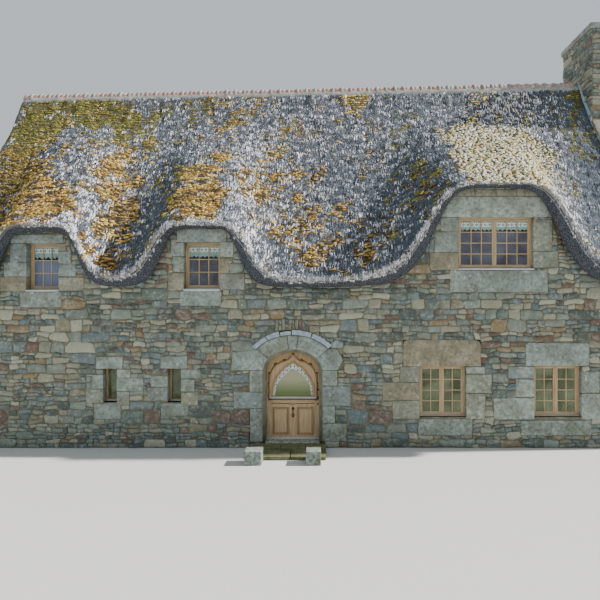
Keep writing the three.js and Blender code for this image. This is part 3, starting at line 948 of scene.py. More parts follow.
@dataclass(frozen=True)
class Dressing:
    """How a dressed stone is worked: its arris, and how rough and how fine its mesh is."""

    arris: float = 0.012
    rough: float = 0.005
    edge: float = 0.16

    def stone(self, outline: Sequence[Flat], span: Flat, seed: float,
              lift: Lift = upright_wall) -> Shape:
        """Cuts a stone from its outline.

        Args:
            outline: the corners of its face.
            span: the near and far ends of its depth.
            seed: shifts the roughness.
            lift: turns a corner and a depth into a point.

        Returns:
            The stone.
        """
        built = slab(outline, span, lift)
        self.refine(built, 0.5)
        shift = self.shift(seed)
        for vert in built.verts:
            vert.co += noise.noise_vector(vert.co * 9.0 + shift) * self.rough
            vert.co += noise.noise_vector(vert.co * 30.0 + shift) * self.rough * 0.35
        return shape_of(built)

    def loft(self, rings: list[list[Point]], seed: float, back: float) -> Shape:
        """Cuts a stone that is skinned over rings of points.

        Args:
            rings: its outlines from the near end to the far one.
            seed: shifts the roughness.
            back: the place on Y behind which it stays smooth.

        Returns:
            The stone.
        """
        built = bmesh.new()
        verts = [[built.verts.new(point) for point in row] for row in rings]
        built.faces.new(verts[0])
        built.faces.new(verts[-1][::-1])
        for near, far in zip(verts, verts[1:]):
            for i in range(len(near)):
                following = (i + 1) % len(near)
                built.faces.new((near[following], near[i], far[i], far[following]))
        bmesh.ops.recalc_face_normals(built, faces=built.faces)
        self.refine(built, 0.6)
        shift = self.shift(seed)
        for vert in built.verts:
            if vert.co.y < back:
                vert.co += noise.noise_vector(vert.co * 9.0 + shift) * self.rough
        return shape_of(built)

    def refine(self, built: bmesh.types.BMesh, bend: float) -> None:
        """Rounds the arrises that turn by more than an angle, and makes the mesh finer.

        Args:
            built: the stone, changed in place.
            bend: the angle, in radians.
        """
        sharp = [edge for edge in built.edges if edge.calc_face_angle(0.0) > bend]
        bmesh.ops.bevel(built, geom=sharp, offset=self.arris, segments=2, affect="EDGES", profile=0.6)
        for _ in range(2):
            long = [edge for edge in built.edges if edge.calc_length() > self.edge]
            if long:
                bmesh.ops.subdivide_edges(built, edges=long, cuts=1, use_grid_fill=True)
        bmesh.ops.triangulate(built, faces=[face for face in built.faces if len(face.verts) > 4])

    def shift(self, seed: float) -> Vector:
        """Where in the noise a stone reads its roughness."""
        return Vector((seed * 7.3, seed * 3.1, seed * 5.7))


def box_shape(low: Point, high: Point, arris: float = 0.0) -> Shape:
    """A box with bevelled edges.

    Args:
        low: its lowest corner.
        high: its highest corner.
        arris: the bevel's width, or 0 for none.

    Returns:
        The shape.
    """
    face = Patch(low[0], high[0], low[2], high[2])
    built = slab(face.corners(), (low[1], high[1]), upright_wall)
    if arris:
        bmesh.ops.bevel(built, geom=list(built.edges), offset=arris, segments=1, affect="EDGES")
    return shape_of(built)


def rod(start: Vector, end: Vector, radius: float, sides: int = 8) -> Shape:
    """A round rod between two points.

    Args:
        start: one end's centre.
        end: the other end's centre.
        radius: its radius.
        sides: how many sides it has.

    Returns:
        The shape.
    """
    axis = (end - start).normalized()
    across = axis.orthogonal().normalized()
    over = axis.cross(across)
    points: list[Point] = []
    for centre in (start, end):
        for i in range(sides):
            angle = math.tau * i / sides
            points.append(tuple(centre + (across * math.cos(angle) + over * math.sin(angle)) * radius))
    faces: list[tuple[int, ...]] = [tuple(range(sides))[::-1], tuple(range(sides, 2 * sides))]
    faces += [(i, (i + 1) % sides, sides + (i + 1) % sides, sides + i) for i in range(sides)]
    return Shape(points, faces)


def ring(centre: Vector, radii: Flat, across: Vector, over: Vector, steps: int = 20) -> Shape:
    """A round ring of round wire.

    Args:
        centre: the ring's centre.
        radii: the ring's radius and the wire's radius.
        across: one direction in the ring's plane.
        over: the other direction in the ring's plane.
        steps: how many pieces the ring has.

    Returns:
        The shape.
    """
    sides = 8
    axis = across.cross(over)
    points: list[Point] = []
    for i in range(steps):
        turn = math.tau * i / steps
        out = across * math.cos(turn) + over * math.sin(turn)
        for j in range(sides):
            angle = math.tau * j / sides
            wire = out * math.cos(angle) + axis * math.sin(angle)
            points.append(tuple(centre + out * radii[0] + wire * radii[1]))
    faces = []
    for i in range(steps):
        for j in range(sides):
            following, beside = (i + 1) % steps, (j + 1) % sides
            here, then = i * sides, following * sides
            faces.append((here + j, then + j, then + beside, here + beside))
    return Shape(points, faces)


@dataclass(frozen=True)
class Patch:
    """A rectangle in a wall's plane."""

    left: float
    right: float
    low: float
    high: float

    def corners(self) -> list[Flat]:
        """Its corners, anticlockwise from the lower left one."""
        left, right, low, high = self.left, self.right, self.low, self.high
        return [(left, low), (right, low), (right, high), (left, high)]

    def inset(self, by: float) -> "Patch":
        """The patch drawn in on every side."""
        return Patch(self.left + by, self.right - by, self.low + by, self.high - by)

    def outline(self, rng: random.Random, ease: float = 0.006) -> list[Flat]:
        """Its corners, each a little off its place."""
        return [(a + rng.uniform(-ease, ease), b + rng.uniform(-ease, ease)) for a, b in self.corners()]


@dataclass(frozen=True)
class Dormer:
    """An arch of thatch over a window: its centre, rise and half width, outside and at the inner edge."""

    x: float
    rise: float
    half: float
    inner_rise: float
    inner_half: float
    edge: float


@dataclass(frozen=True)
class Roof:
    """The roof's shape, which the thatch, the walls' tops and the ridge follow."""

    outer: Flat = (3.95, 3.74)
    inner: Flat = (3.707, 3.6)
    ridge: float = 9.235
    slant: float = 0.0219
    thick: float = 0.495
    dormers_end: float = 0.45
    fade: float = 1.15
    left: float = -8.56
    right: float = 7.3997
    front: tuple[Dormer, ...] = (
        Dormer(-6.245, 1.245, 1.01, 1.24, 0.86, 6.5),
        Dormer(-2.694, 1.255, 1.14, 1.325, 0.89, 6.5),
        Dormer(3.89, 2.14, 1.71, 2.21, 1.452, 5.5),
    )
    rear: tuple[Dormer, ...] = (
        Dormer(-3.9, 1.25, 1.12, 1.32, 0.88, 6.5),
        Dormer(3.3, 1.25, 1.12, 1.32, 0.88, 6.5),
    )

    def dormers(self, side: float) -> tuple[Dormer, ...]:
        """The dormers of the front, side -1, or of the rear, side 1."""
        return self.front if side < 0 else self.rear

    def lift(self, side: float, x: np.ndarray, share: np.ndarray, inside: bool) -> np.ndarray:
        """What the dormers add.

        Args:
            side: -1 for the front, 1 for the rear.
            x: places along the ridge.
            share: how far up they are from the eave, where 1 is the dormers' end.
            inside: whether the underside is meant.

        Returns:
            The heights.
        """
        share = np.clip(share, 0.0, 1.0)
        total = np.zeros(np.broadcast(x, share).shape)
        for dormer in self.dormers(side):
            rise, half = (dormer.inner_rise, dormer.inner_half) if inside else (dormer.rise, dormer.half)
            power = dormer.edge + (3 - dormer.edge) * share
            total = total + rise / (1 + (np.abs(x - dormer.x) / half) ** power)
        return total * (1 - share) ** self.fade

    def top(self, side: float, x: np.ndarray, out: np.ndarray) -> np.ndarray:
        """Height of the thatch's top at a distance from the ridge's plane.

        Args:
            side: -1 for the front slope and 1 for the rear one.
            x: the places along the ridge.
            out: the distances from the ridge's plane.

        Returns:
            The heights.
        """
        reach, z = self.outer
        along = 1 - out / reach
        share = (reach - out) / (reach - self.dormers_end)
        plain = z + (self.ridge + self.slant * x - z) * along
        return plain + self.lift(side, x, share, False)

    def under(self, side: float, x: np.ndarray, out: np.ndarray) -> np.ndarray:
        """Height of the thatch's underside at a distance from the ridge's plane.

        Args:
            side: -1 for the front slope and 1 for the rear one.
            x: the places along the ridge.
            out: the distances from the ridge's plane.

        Returns:
            The heights.
        """
        reach, z = self.inner
        along = 1 - out / reach
        share = (reach - out) / (reach - self.dormers_end)
        plain = z + (self.ridge + self.slant * x - self.thick - z) * along
        return plain + self.lift(side, x, share, True)


ROOF = Roof()


@dataclass(frozen=True)
class Window:
    """A window's opening, its panes, and the dressed stones round it.

    The jamb stones are given by how far they reach from the opening, their bottom and their top.
    """

    name: str
    hole: Patch
    recess: float
    leaves: int
    panes: tuple[int, int]
    lintel: Patch
    sill: Patch
    left: tuple[Point, ...]
    right: tuple[Point, ...]
    side: Facing = Facing.FRONT
    lace: bool = False
    rounded: float = 0.0
    tint: float = 0.3
    course: tuple[Patch, ...] = ()

    def jambs(self) -> list[Patch]:
        """The jamb stones' outlines.

        Returns:
            The outlines.
        """
        lap = 0.004
        near, far = self.hole.left, self.hole.right
        left = [Patch(near - reach, near + lap, low, high) for reach, low, high in self.left]
        right = [Patch(far - lap, far + reach, low, high) for reach, low, high in self.right]
        return left + right


REAR_UPPER_STONES = ((0.38, 4.3, 4.63), (0.27, 3.95, 4.28), (0.45, 3.56, 3.93))
REAR_LOWER_STONES = ((0.34, 1.52, 1.83), (0.56, 1.1, 1.5), (0.36, 0.64, 1.08))
WINDOWS = (
    Window(
        "upper_left", Patch(-6.656, -5.916, 3.555, 4.604), 0.21, 1, (3, 3),
        Patch(-6.994, -5.812, 4.604, 4.806), Patch(-6.789, -5.853, 3.172, 3.51),
        ((0.36, 4.19, 4.6), (0.5, 3.86, 4.18), (0.57, 3.53, 3.85)),
        ((0.17, 4.44, 4.6), (0.28, 4.15, 4.42), (0.39, 3.87, 4.14), (0.57, 3.53, 3.84)), lace=True,
    ),
    Window(
        "upper_middle", Patch(-3.102, -2.285, 3.578, 4.635), 0.21, 1, (3, 3),
        Patch(-3.252, -2.134, 4.635, 4.927), Patch(-3.187, -2.251, 3.204, 3.517),
        ((0.29, 4.32, 4.62), (0.24, 3.96, 4.3), (0.35, 3.55, 3.94)),
        ((0.3, 4.3, 4.63), (0.22, 3.94, 4.27), (0.55, 3.56, 3.92)), lace=True,
    ),
    Window(
        "upper_right", Patch(3.088, 4.785, 4.039, 5.197), 0.12, 2, (3, 4),
        Patch(2.702, 5.199, 5.197, 5.656), Patch(2.895, 5.1, 3.506, 4.0),
        ((0.4, 4.87, 5.19), (0.54, 4.41, 4.86), (0.64, 4.0, 4.4)),
        ((0.41, 4.43, 5.14), (0.55, 4.06, 4.42)), lace=True, rounded=0.16, tint=0.05,
        course=tuple(Patch(x, x + 0.46, 5.675, 5.82) for x in (3.0, 3.47, 3.94, 4.41)),
    ),
    Window(
        "lower_middle", Patch(2.211, 3.266, 0.698, 1.838), 0.12, 2, (2, 4),
        Patch(1.844, 3.592, 1.838, 2.43), Patch(2.188, 3.401, 0.277, 0.644),
        ((0.45, 1.48, 1.82), (0.83, 1.07, 1.47), (0.61, 0.65, 1.06)),
        ((0.42, 1.67, 1.82), (0.57, 1.24, 1.65), (0.42, 0.65, 1.22)), rounded=0.1, tint=0.85,
    ),
    Window(
        "lower_right", Patch(4.792, 5.865, 0.698, 1.845), 0.12, 2, (2, 4),
        Patch(4.605, 6.038, 1.845, 2.362), Patch(4.499, 6.081, 0.277, 0.621),
        ((0.58, 1.56, 1.83), (0.41, 1.15, 1.54), (0.91, 0.64, 1.12)),
        ((0.4, 1.24, 1.72), (0.49, 0.64, 1.22)), rounded=0.05,
    ),
    Window(
        "slit_left", Patch(-4.924, -4.604, 1.024, 1.784), 0.21, 1, (1, 1),
        Patch(-5.08, -4.48, 1.784, 2.05), Patch(-5.12, -4.52, 0.65, 1.0),
        ((0.23, 1.33, 1.64), (0.38, 1.01, 1.32)),
        ((0.3, 1.58, 1.76), (0.6, 1.28, 1.57), (0.28, 0.96, 1.26)),
    ),
    Window(
        "slit_right", Patch(-3.468, -3.155, 1.024, 1.784), 0.21, 1, (1, 1),
        Patch(-3.62, -3.03, 1.784, 2.06), Patch(-3.61, -2.99, 0.72, 1.0),
        ((0.38, 1.37, 1.62), (0.45, 1.06, 1.36)),
        ((0.44, 1.56, 1.77), (0.3, 1.27, 1.54), (0.38, 0.96, 1.25)),
    ),
    Window(
        "rear_upper_left", Patch(3.49, 4.31, 3.578, 4.635), 0.21, 1, (3, 3),
        Patch(3.3, 4.5, 4.635, 4.9), Patch(3.38, 4.42, 3.2, 3.52),
        REAR_UPPER_STONES, REAR_UPPER_STONES, Facing.REAR, True,
    ),
    Window(
        "rear_upper_right", Patch(-3.71, -2.89, 3.578, 4.635), 0.21, 1, (3, 3),
        Patch(-3.9, -2.7, 4.635, 4.9), Patch(-3.82, -2.78, 3.2, 3.52),
        REAR_UPPER_STONES, REAR_UPPER_STONES, Facing.REAR, True,
    ),
    Window(
        "rear_lower_left", Patch(3.365, 4.435, 0.698, 1.84), 0.12, 2, (2, 4),
        Patch(3.1, 4.7, 1.84, 2.34), Patch(3.2, 4.6, 0.28, 0.64),
        REAR_LOWER_STONES, REAR_LOWER_STONES, Facing.REAR, rounded=0.06,
    ),
    Window(
        "rear_lower_right", Patch(-3.835, -2.765, 0.698, 1.84), 0.12, 2, (2, 4),
        Patch(-4.1, -2.5, 1.84, 2.34), Patch(-4.0, -2.6, 0.28, 0.64),
        REAR_LOWER_STONES, REAR_LOWER_STONES, Facing.REAR, rounded=0.06,
    ),
)


def wall_point(facing: Facing, plane: float) -> Lift:
    """How a wall's plane lies in the house.

    Args:
        facing: the wall's side.
        plane: how far its face is from the house's middle.

    Returns:
        A function from a place along the wall, a height and a depth behind its face to a point.
    """
    along, outward = facing.along(), facing.outward()

    def lift(a: float, b: float, depth: float) -> Point:
        """The point at a along the wall, b up and depth behind the face."""
        spot = along * a + outward * (plane - depth)
        return (spot.x, spot.y, b)

    return lift


def field_stone(rng: random.Random) -> Shape:
    """A rough stone's face, one unit wide, high and deep, that bulges towards -Y.

    Args:
        rng: the source of the random draws.

    Returns:
        The stone.
    """
    taper, shear = rng.uniform(-0.1, 0.1), rng.uniform(-0.1, 0.1)
    corners = []
    for across, up in ((-1, -1), (1, -1), (1, 1), (-1, 1)):
        cut = rng.uniform(0.15, 1.0) ** 1.5
        level = (across * (0.5 - 0.03 - 0.16 * cut), up * 0.5 * rng.uniform(0.92, 1.03))
        upright = (across * 0.5 * rng.uniform(0.96, 1.02), up * (0.5 - 0.06 - 0.32 * cut))
        corners += [upright, level] if across * up > 0 else [level, upright]
        if across * up > 0 and rng.random() < 0.6:
            corners.append((rng.uniform(-0.2, 0.2), up * 0.5 * rng.uniform(0.9, 1.06)))
    outline = [(a * (1 + taper * b) + shear * b, b * (1 + taper * a)) for a, b in corners]
    count = len(outline)
    rings = ((1.0, 0.0), (0.985, -0.7), (0.9, -rng.uniform(0.9, 1.0)))
    points = [(a * scale, depth, b * scale) for scale, depth in rings for a, b in outline]
    points.append((rng.uniform(-0.2, 0.2), -1.0, rng.uniform(-0.2, 0.2)))
    faces: list[tuple[int, ...]] = []
    for start in (0, count):
        for i in range(count):
            following = start + (i + 1) % count
            faces.append((start + i, following, following + count, start + i + count))
    last = 2 * count
    faces += [(last + i, last + (i + 1) % count, 3 * count) for i in range(count)]
    return Shape(points, faces)


@dataclass
class RubbleWall:
    """The field stones of one wall's face, laid in wavering courses round its dressed stones."""

    facing: Facing
    plane: float
    span: Flat
    top: Callable[[float], float]
    holes: Sequence[Patch] = ()
    base: float = 0.0
    seed: int = 1
    course: Flat = (0.15, 0.33)
    bay: Flat = (0.3, 0.95)
    ratio: Flat = (1.1, 3.4)
    width: Flat = (0.12, 0.58)
    joint: float = 0.012
    thinnest: float = 0.055
    proud: Flat = (0.016, 0.036)
    shapes: int = 12

    def gaps(self, low: float, high: float) -> list[Patch]:
        """The free stretches of one course.

        Args:
            low: the course's bottom.
            high: its top.

        Returns:
            The stretches between, beside, over and under the dressed stones.
        """
        near = [hole for hole in self.holes if hole.low < high and hole.high > low]
        edges = {*self.span, *(edge for hole in near for edge in (hole.left, hole.right))}
        places = sorted(edge for edge in edges if self.span[0] <= edge <= self.span[1])
        found: list[Patch] = []
        for left, right in zip(places, places[1:]):
            free = [(low, high)]
            for hole in near:
                if hole.left < (left + right) / 2 < hole.right:
                    cut = [part for a, b in free for part in ((a, min(b, hole.low)), (max(a, hole.high), b))]
                    free = [(a, b) for a, b in cut if b - a > self.thinnest]
            for a, b in free:
                same = [patch for patch in found if (patch.right, patch.low, patch.high) == (left, a, b)]
                if same:
                    found.remove(same[0])
                found.append(Patch(same[0].left if same else left, right, a, b))
        return found

    def lay(self) -> list[Spot]:
        """Lays all courses, each in bays of one to three layers.

        Returns:
            One spot for each stone.
        """
        rng = random.Random(self.seed)
        highest = max(self.top(blend(*self.span, i / 60)) for i in range(61))
        spots: list[Spot] = []
        low = self.base
        while low < highest:
            high = low + rng.uniform(*self.course)
            for gap in self.gaps(low, high):
                for left, right in self.stretches(gap.left, gap.right, self.bay, rng):
                    spots += self.layers(Patch(left, right, gap.low, gap.high), rng)
            low = high
        return spots

    def stretches(self, start: float, end: float, width: Flat, rng: random.Random) -> list[Flat]:
        """Cuts a length into pieces of random width, none of them a sliver.

        Args:
            start: where the length begins.
            end: where it ends.
            width: the least and the greatest width of a piece.
            rng: the source of the random draws.

        Returns:
            The two ends of each piece.
        """
        found = []
        while start < end - 0.03:
            reach = start + rng.uniform(*width)
            if end - reach < width[0] * 0.8:
                reach = end
            found.append((start, reach))
            start = reach
        return found

    def layers(self, bay: Patch, rng: random.Random) -> list[Spot]:
        """Fills a bay with one to three layers of stones.

        Args:
            bay: the part of the wall that is filled.
            rng: the source of the random draws.

        Returns:
            The stones.
        """
        tall = bay.high - bay.low
        count = 1
        if tall >= 0.15:
            count = rng.choice((1, 2, 2) if tall < 0.25 else (1, 2, 2, 2, 3))
        cuts = [i / count + rng.uniform(-0.22, 0.22) / count for i in range(1, count)]
        levels = [bay.low + tall * share for share in (0.0, *cuts, 1.0)]
        spots: list[Spot] = []
        for low, high in zip(levels, levels[1:]):
            least, most = self.width
            width = tuple(min(max((high - low) * ratio, least), most) for ratio in self.ratio)
            for left, right in self.stretches(bay.left, bay.right, width, rng):
                spots += self.settle(Patch(left, right, low, high), rng)
        return spots

    def settle(self, bed: Patch, rng: random.Random) -> list[Spot]:
        """Puts one stone on its bed, or smaller ones where the roof's slope cuts it.

        Args:
            bed: the room that the stone has.
            rng: the source of the random draws.

        Returns:
            The stones, or none.
        """
        ceiling = min(bed.high, self.top(bed.left), self.top(bed.right))
        if ceiling - bed.low < 0.7 * (bed.high - bed.low) and bed.right - bed.left > 0.13:
            middle = (bed.left + bed.right) / 2
            halves = (Patch(bed.left, middle, bed.low, bed.high), Patch(middle, bed.right, bed.low, bed.high))
            return [spot for half in halves for spot in self.settle(half, rng)]
        if ceiling - bed.low < self.thinnest:
            return []
        return [self.stone(Patch(bed.left, bed.right, bed.low, ceiling), rng)]

    def stone(self, bed: Patch, rng: random.Random) -> Spot:
        """Puts one stone on its bed.

        Args:
            bed: the room that the stone has.
            rng: the source of the random draws.

        Returns:
            The stone.
        """
        wide, tall = bed.right - bed.left, bed.high - bed.low
        joint = self.joint * rng.uniform(0.3, 1.5)
        at = wall_point(self.facing, self.plane)((bed.left + bed.right) / 2, (bed.low + bed.high) / 2, 0.01)
        turn = (0.0, rng.uniform(-0.06, 0.06) * min(1.0, 0.16 / wide), self.facing.value)
        size = (wide - joint, rng.uniform(*self.proud) + 0.01, tall - joint)
        return Spot(at, turn, size, rng.random(), rng.randrange(self.shapes))


@dataclass
class Masonry:
    """All rubble of the house, one piece for each side."""

    stone: bpy.types.Material
    seed: int = 11
    shapes: int = 12
    grain: float = 4.5

    def scatter(self, name: str, walls: Sequence[RubbleWall], ruffle: Point) -> bpy.types.Object:
        """Builds one piece from some faces' stones.

        Args:
            name: the piece's name.
            walls: the faces.
            ruffle: how far the stones' outlines waver on each axis.

        Returns:
            The piece.
        """
        rng = random.Random(self.seed)
        shapes = [field_stone(rng) for _ in range(self.shapes)]
        scattered = Scatter(name, shapes, self.stone, ruffle, self.grain)
        for wall in walls:
            scattered.spots += wall.lay()
        return scattered.build()

    def build(self, front: Sequence[Patch], rear: Sequence[Patch]) -> None:
        """Lays every wall.

        Args:
            front: the dressed stones of the front.
            rear: the dressed stones of the rear.
        """
        gable = ROOF.right
        long_span, short_span = (-HALF_LENGTH, HALF_LENGTH), (-HALF_DEPTH, HALF_DEPTH)

        def front_top(x: float) -> float:
            """The thatch's underside at the front face, or the parapet."""
            return float(ROOF.under(-1, x, HALF_DEPTH)) if x < gable else parapet(HALF_DEPTH)

        def rear_top(along: float) -> float:
            """The thatch's underside at the rear face, or the parapet."""
            return float(ROOF.under(1, -along, HALF_DEPTH)) if -along < gable else parapet(HALF_DEPTH)

        def parapet(out: float) -> float:
            """The right gable's top at a distance from the ridge's plane, or the chimney's."""
            return CHIMNEY_TOP if abs(out) < CHIMNEY_HALF else parapet_height(out) - 0.01

        def left_top(along: float) -> float:
            """The thatch's underside at the left gable."""
            side = 1 if along < 0 else -1
            return float(ROOF.under(side, -HALF_LENGTH, abs(along)))

        stack = parapet(CHIMNEY_HALF + 0.001)
        broad = {"course": (0.17, 0.37), "width": (0.15, 0.7)}
        long, short = (0.17, 0.035, 0.17), (0.035, 0.17, 0.17)
        front_wall = RubbleWall(Facing.FRONT, HALF_DEPTH, long_span, front_top, front, seed=3)
        rear_wall = RubbleWall(Facing.REAR, HALF_DEPTH, long_span, rear_top, rear, seed=5, **broad)
        left_wall = RubbleWall(Facing.LEFT, HALF_LENGTH, short_span, left_top, CORNERS_SIDE, seed=7, **broad)
        right_wall = RubbleWall(Facing.RIGHT, HALF_LENGTH, short_span, parapet, CORNERS_SIDE, seed=9, **broad)
        self.scatter("rubble_front", [front_wall], long)
        self.scatter("rubble_rear", [rear_wall], long)
        self.scatter("rubble_left", [left_wall], short)
        faces = [right_wall]
        for facing, seed in ((Facing.FRONT, 13), (Facing.REAR, 15)):
            ends = (gable, HALF_LENGTH) if facing is Facing.FRONT else (-HALF_LENGTH, -gable)
            faces.append(RubbleWall(facing, CHIMNEY_HALF, ends, chimney_top, base=stack - 0.1, seed=seed))
        stack_span = (-CHIMNEY_HALF, CHIMNEY_HALF)
        faces.append(RubbleWall(Facing.LEFT, -GABLE_FACE, stack_span, chimney_top, base=stack, seed=17))
        self.scatter("rubble_right", faces, (0.035, 0.05, 0.17))


CHIMNEY_HALF = 0.88
CHIMNEY_TOP = 10.75
GABLE_FACE = 7.4


def chimney_top(_: float) -> float:
    """The stack's top, the same all along."""
    return CHIMNEY_TOP


def quoin_patches(ends: Flat, inward: float, seed: int, top: float) -> list[Patch]:
    """The stones of a wall's two corners, long and short in turn.

    Args:
        ends: the wall's two ends.
        inward: how far the house's corner stones lie from the end, for the first course.
        seed: fixes their heights.
        top: where they end.

    Returns:
        The patches, from the ground up.
    """
    rng = random.Random(seed)
    found = []
    low, count = 0.0, 0
    while low < top - 0.12:
        high = min(low + rng.uniform(0.24, 0.38), top)
        reach = inward if count % 2 else 0.78 - inward
        found.append(Patch(ends[0], ends[0] + reach, low, high))
        found.append(Patch(ends[1] - reach, ends[1], low, high))
        low, count = high, count + 1
    return found


QUOIN_TOP = 3.66
CORNERS_LONG = quoin_patches((-HALF_LENGTH, HALF_LENGTH), 0.5, 21, QUOIN_TOP)
CORNERS_SIDE = quoin_patches((-HALF_DEPTH, HALF_DEPTH), 0.28, 21, QUOIN_TOP)


@dataclass
class Stonework:
    """The dressed stones: round the windows and the slits, at the corners, on the parapet and the chimney."""

    granite: bpy.types.Material
    mortar: bpy.types.Material
    pale: bpy.types.Material
    work: Dressing = Dressing()
    proud: float = 0.016
    depth: float = 0.295
    seed: int = 5

    def stone(self, gather: Gather, patch: Patch, side: Facing, depth: float, rng: random.Random,
              rounded: float = 0.0, tint: Optional[float] = None) -> None:
        """Adds one squared stone to a wall.

        Args:
            gather: the mesh it goes into.
            patch: its face.
            side: its wall.
            depth: how far it goes in from the wall's face.
            rng: the source of its irregularity.
            rounded: the radius of its upper corners.
            tint: its colour, or None for any.
        """
        outline = patch.outline(rng)
        if rounded:
            slack = rounded * 0.3
            low_left, low_right, (right, right_top), (left, left_top) = outline
            outline = [low_left, low_right, (right, right_top - rounded), (right - slack, right_top - slack)]
            outline += [(right - rounded, right_top), (left + rounded, left_top)]
            outline += [(left + slack, left_top - slack), (left, left_top - rounded)]
        near = -self.proud - rng.uniform(0.0, 0.008)
        shape = self.work.stone(outline, (near, depth), rng.random() * 9, wall_point(side, HALF_DEPTH))
        gather.add(shape, 0, rng.random() if tint is None else tint)

    def windows(self, side: Facing) -> None:
        """Builds the stones of one side's windows in place of its lintels and sills.

        Args:
            side: the wall that the windows are in.
        """
        rng = random.Random(self.seed)
        name = f"window_stones_{side.name.lower()}"
        gather = Gather(name, [self.granite, self.mortar, self.pale], smooth=True)
        taken = []
        for window in (window for window in WINDOWS if window.side is side):
            self.stone(gather, window.lintel, side, self.depth, rng, window.rounded, window.tint)
            self.stone(gather, window.sill, side, self.depth, rng, tint=0.4)
            for patch in window.course:
                self.stone(gather, patch, side, 0.2, rng, tint=0.72)
            for patch in window.jambs():
                self.stone(gather, patch, side, window.recess, rng)
            if side is Facing.FRONT and "slit" not in window.name:
                taken += [f"lintel_{window.name}", f"sill_{window.name}"]
            hole = window.hole
            lift = wall_point(side, HALF_DEPTH)
            bed = Patch(hole.left - 0.05, hole.right + 0.05, window.sill.high - 0.01, hole.low)
            gather.add(shape_of(slab(bed.corners(), (-0.006, window.recess), lift)), 1)
            if "upper" in window.name:
                strip = Patch(hole.left, hole.right, window.sill.high + 0.01, hole.low + 0.004)
                gather.add(shape_of(slab(strip.corners(), (-0.028, 0.04), lift)), 2)
        gather.build(replaces=taken)

    def quoins(self) -> None:
        """Builds the corner stones, long and short in turn."""
        rng = random.Random(self.seed + 1)
        gather = Gather("corner_stones", [self.granite], smooth=True)
        for x_sign in (-1, 1):
            for y_sign in (-1, 1):
                for long, side in zip(CORNERS_LONG[::2], CORNERS_SIDE[::2]):
                    x_ends = (HALF_LENGTH + 0.014, HALF_LENGTH - (long.right - long.left))
                    y_ends = (HALF_DEPTH + 0.014, HALF_DEPTH - (side.right - side.left))
                    x = sorted(x_sign * end for end in x_ends)
                    y = sorted(y_sign * end for end in y_ends)
                    patch = Patch(x[0], x[1], long.low + 0.006, long.high - 0.006)
                    shape = self.work.stone(patch.outline(rng, 0.004), (y[0], y[1]), rng.random() * 9)
                    gather.add(shape, 0, rng.random())
        gather.build()

    def copings(self) -> None:
        """Builds the flat stones on the gable's parapet and the chimney's weathering course."""
        rng = random.Random(self.seed + 2)
        gather = Gather("parapet_copings", [self.granite, self.mortar], smooth=True)
        x = (7.372, 8.392)
        for side in (-1, 1):
            foot = (3.62, parapet_height(3.62))
            crown = (CHIMNEY_HALF, parapet_height(CHIMNEY_HALF))
            slope = math.hypot(foot[0] - crown[0], crown[1] - foot[1])
            count = round(slope / 0.62)
            lean = ((crown[0] - foot[0]) / slope, (crown[1] - foot[1]) / slope)
            for i in range(count):
                start, end = (slope * i / count + 0.005, slope * (i + 1) / count - 0.005)
                outline = []
                for along, up in ((start, 0.0), (end, 0.0), (end, 0.085), (start, 0.085)):
                    y = foot[0] + lean[0] * along + lean[1] * up
                    z = foot[1] + lean[1] * along - lean[0] * up
                    outline.append((side * (y + rng.uniform(-0.004, 0.004)), z + rng.uniform(-0.006, 0.006)))
                edge = rng.uniform(-0.006, 0.006)
                span = (x[0] + edge, x[1] + edge)
                shape = self.work.stone(outline, span, rng.random() * 9, cross_wall)
                gather.add(shape, 0, rng.random())
        cap = Patch(GABLE_FACE - 0.058, HALF_LENGTH + 0.058, CHIMNEY_TOP, 10.897)
        for row, (y0, y1) in enumerate(((-0.938, -0.31), (0.31, 0.938))):
            shape = self.work.stone(cap.outline(rng, 0.003), (y0, y1), 3.0 + row)
            gather.add(shape, 0, rng.random())
        for x0, x1 in ((cap.left, 7.67), (8.08, cap.right)):
            middle = Patch(x0, x1, cap.low, cap.high)
            shape = self.work.stone(middle.outline(rng, 0.003), (-0.305, 0.305), 5.0 + x0)
            gather.add(shape, 0, rng.random())
        gather.build(replaces=["chimney_cap"])


def parapet_height(out: float) -> float:
    """The right gable's top at a distance from the ridge's plane."""
    ends = [float(ROOF.top(1, 50.0, at)) - ROOF.slant * (50.0 - GABLE_FACE) * (1 - at / ROOF.outer[0])
            for at in (CHIMNEY_HALF, HALF_DEPTH)]
    return blend(*ends, (abs(out) - CHIMNEY_HALF) / (HALF_DEPTH - CHIMNEY_HALF)) + 0.06


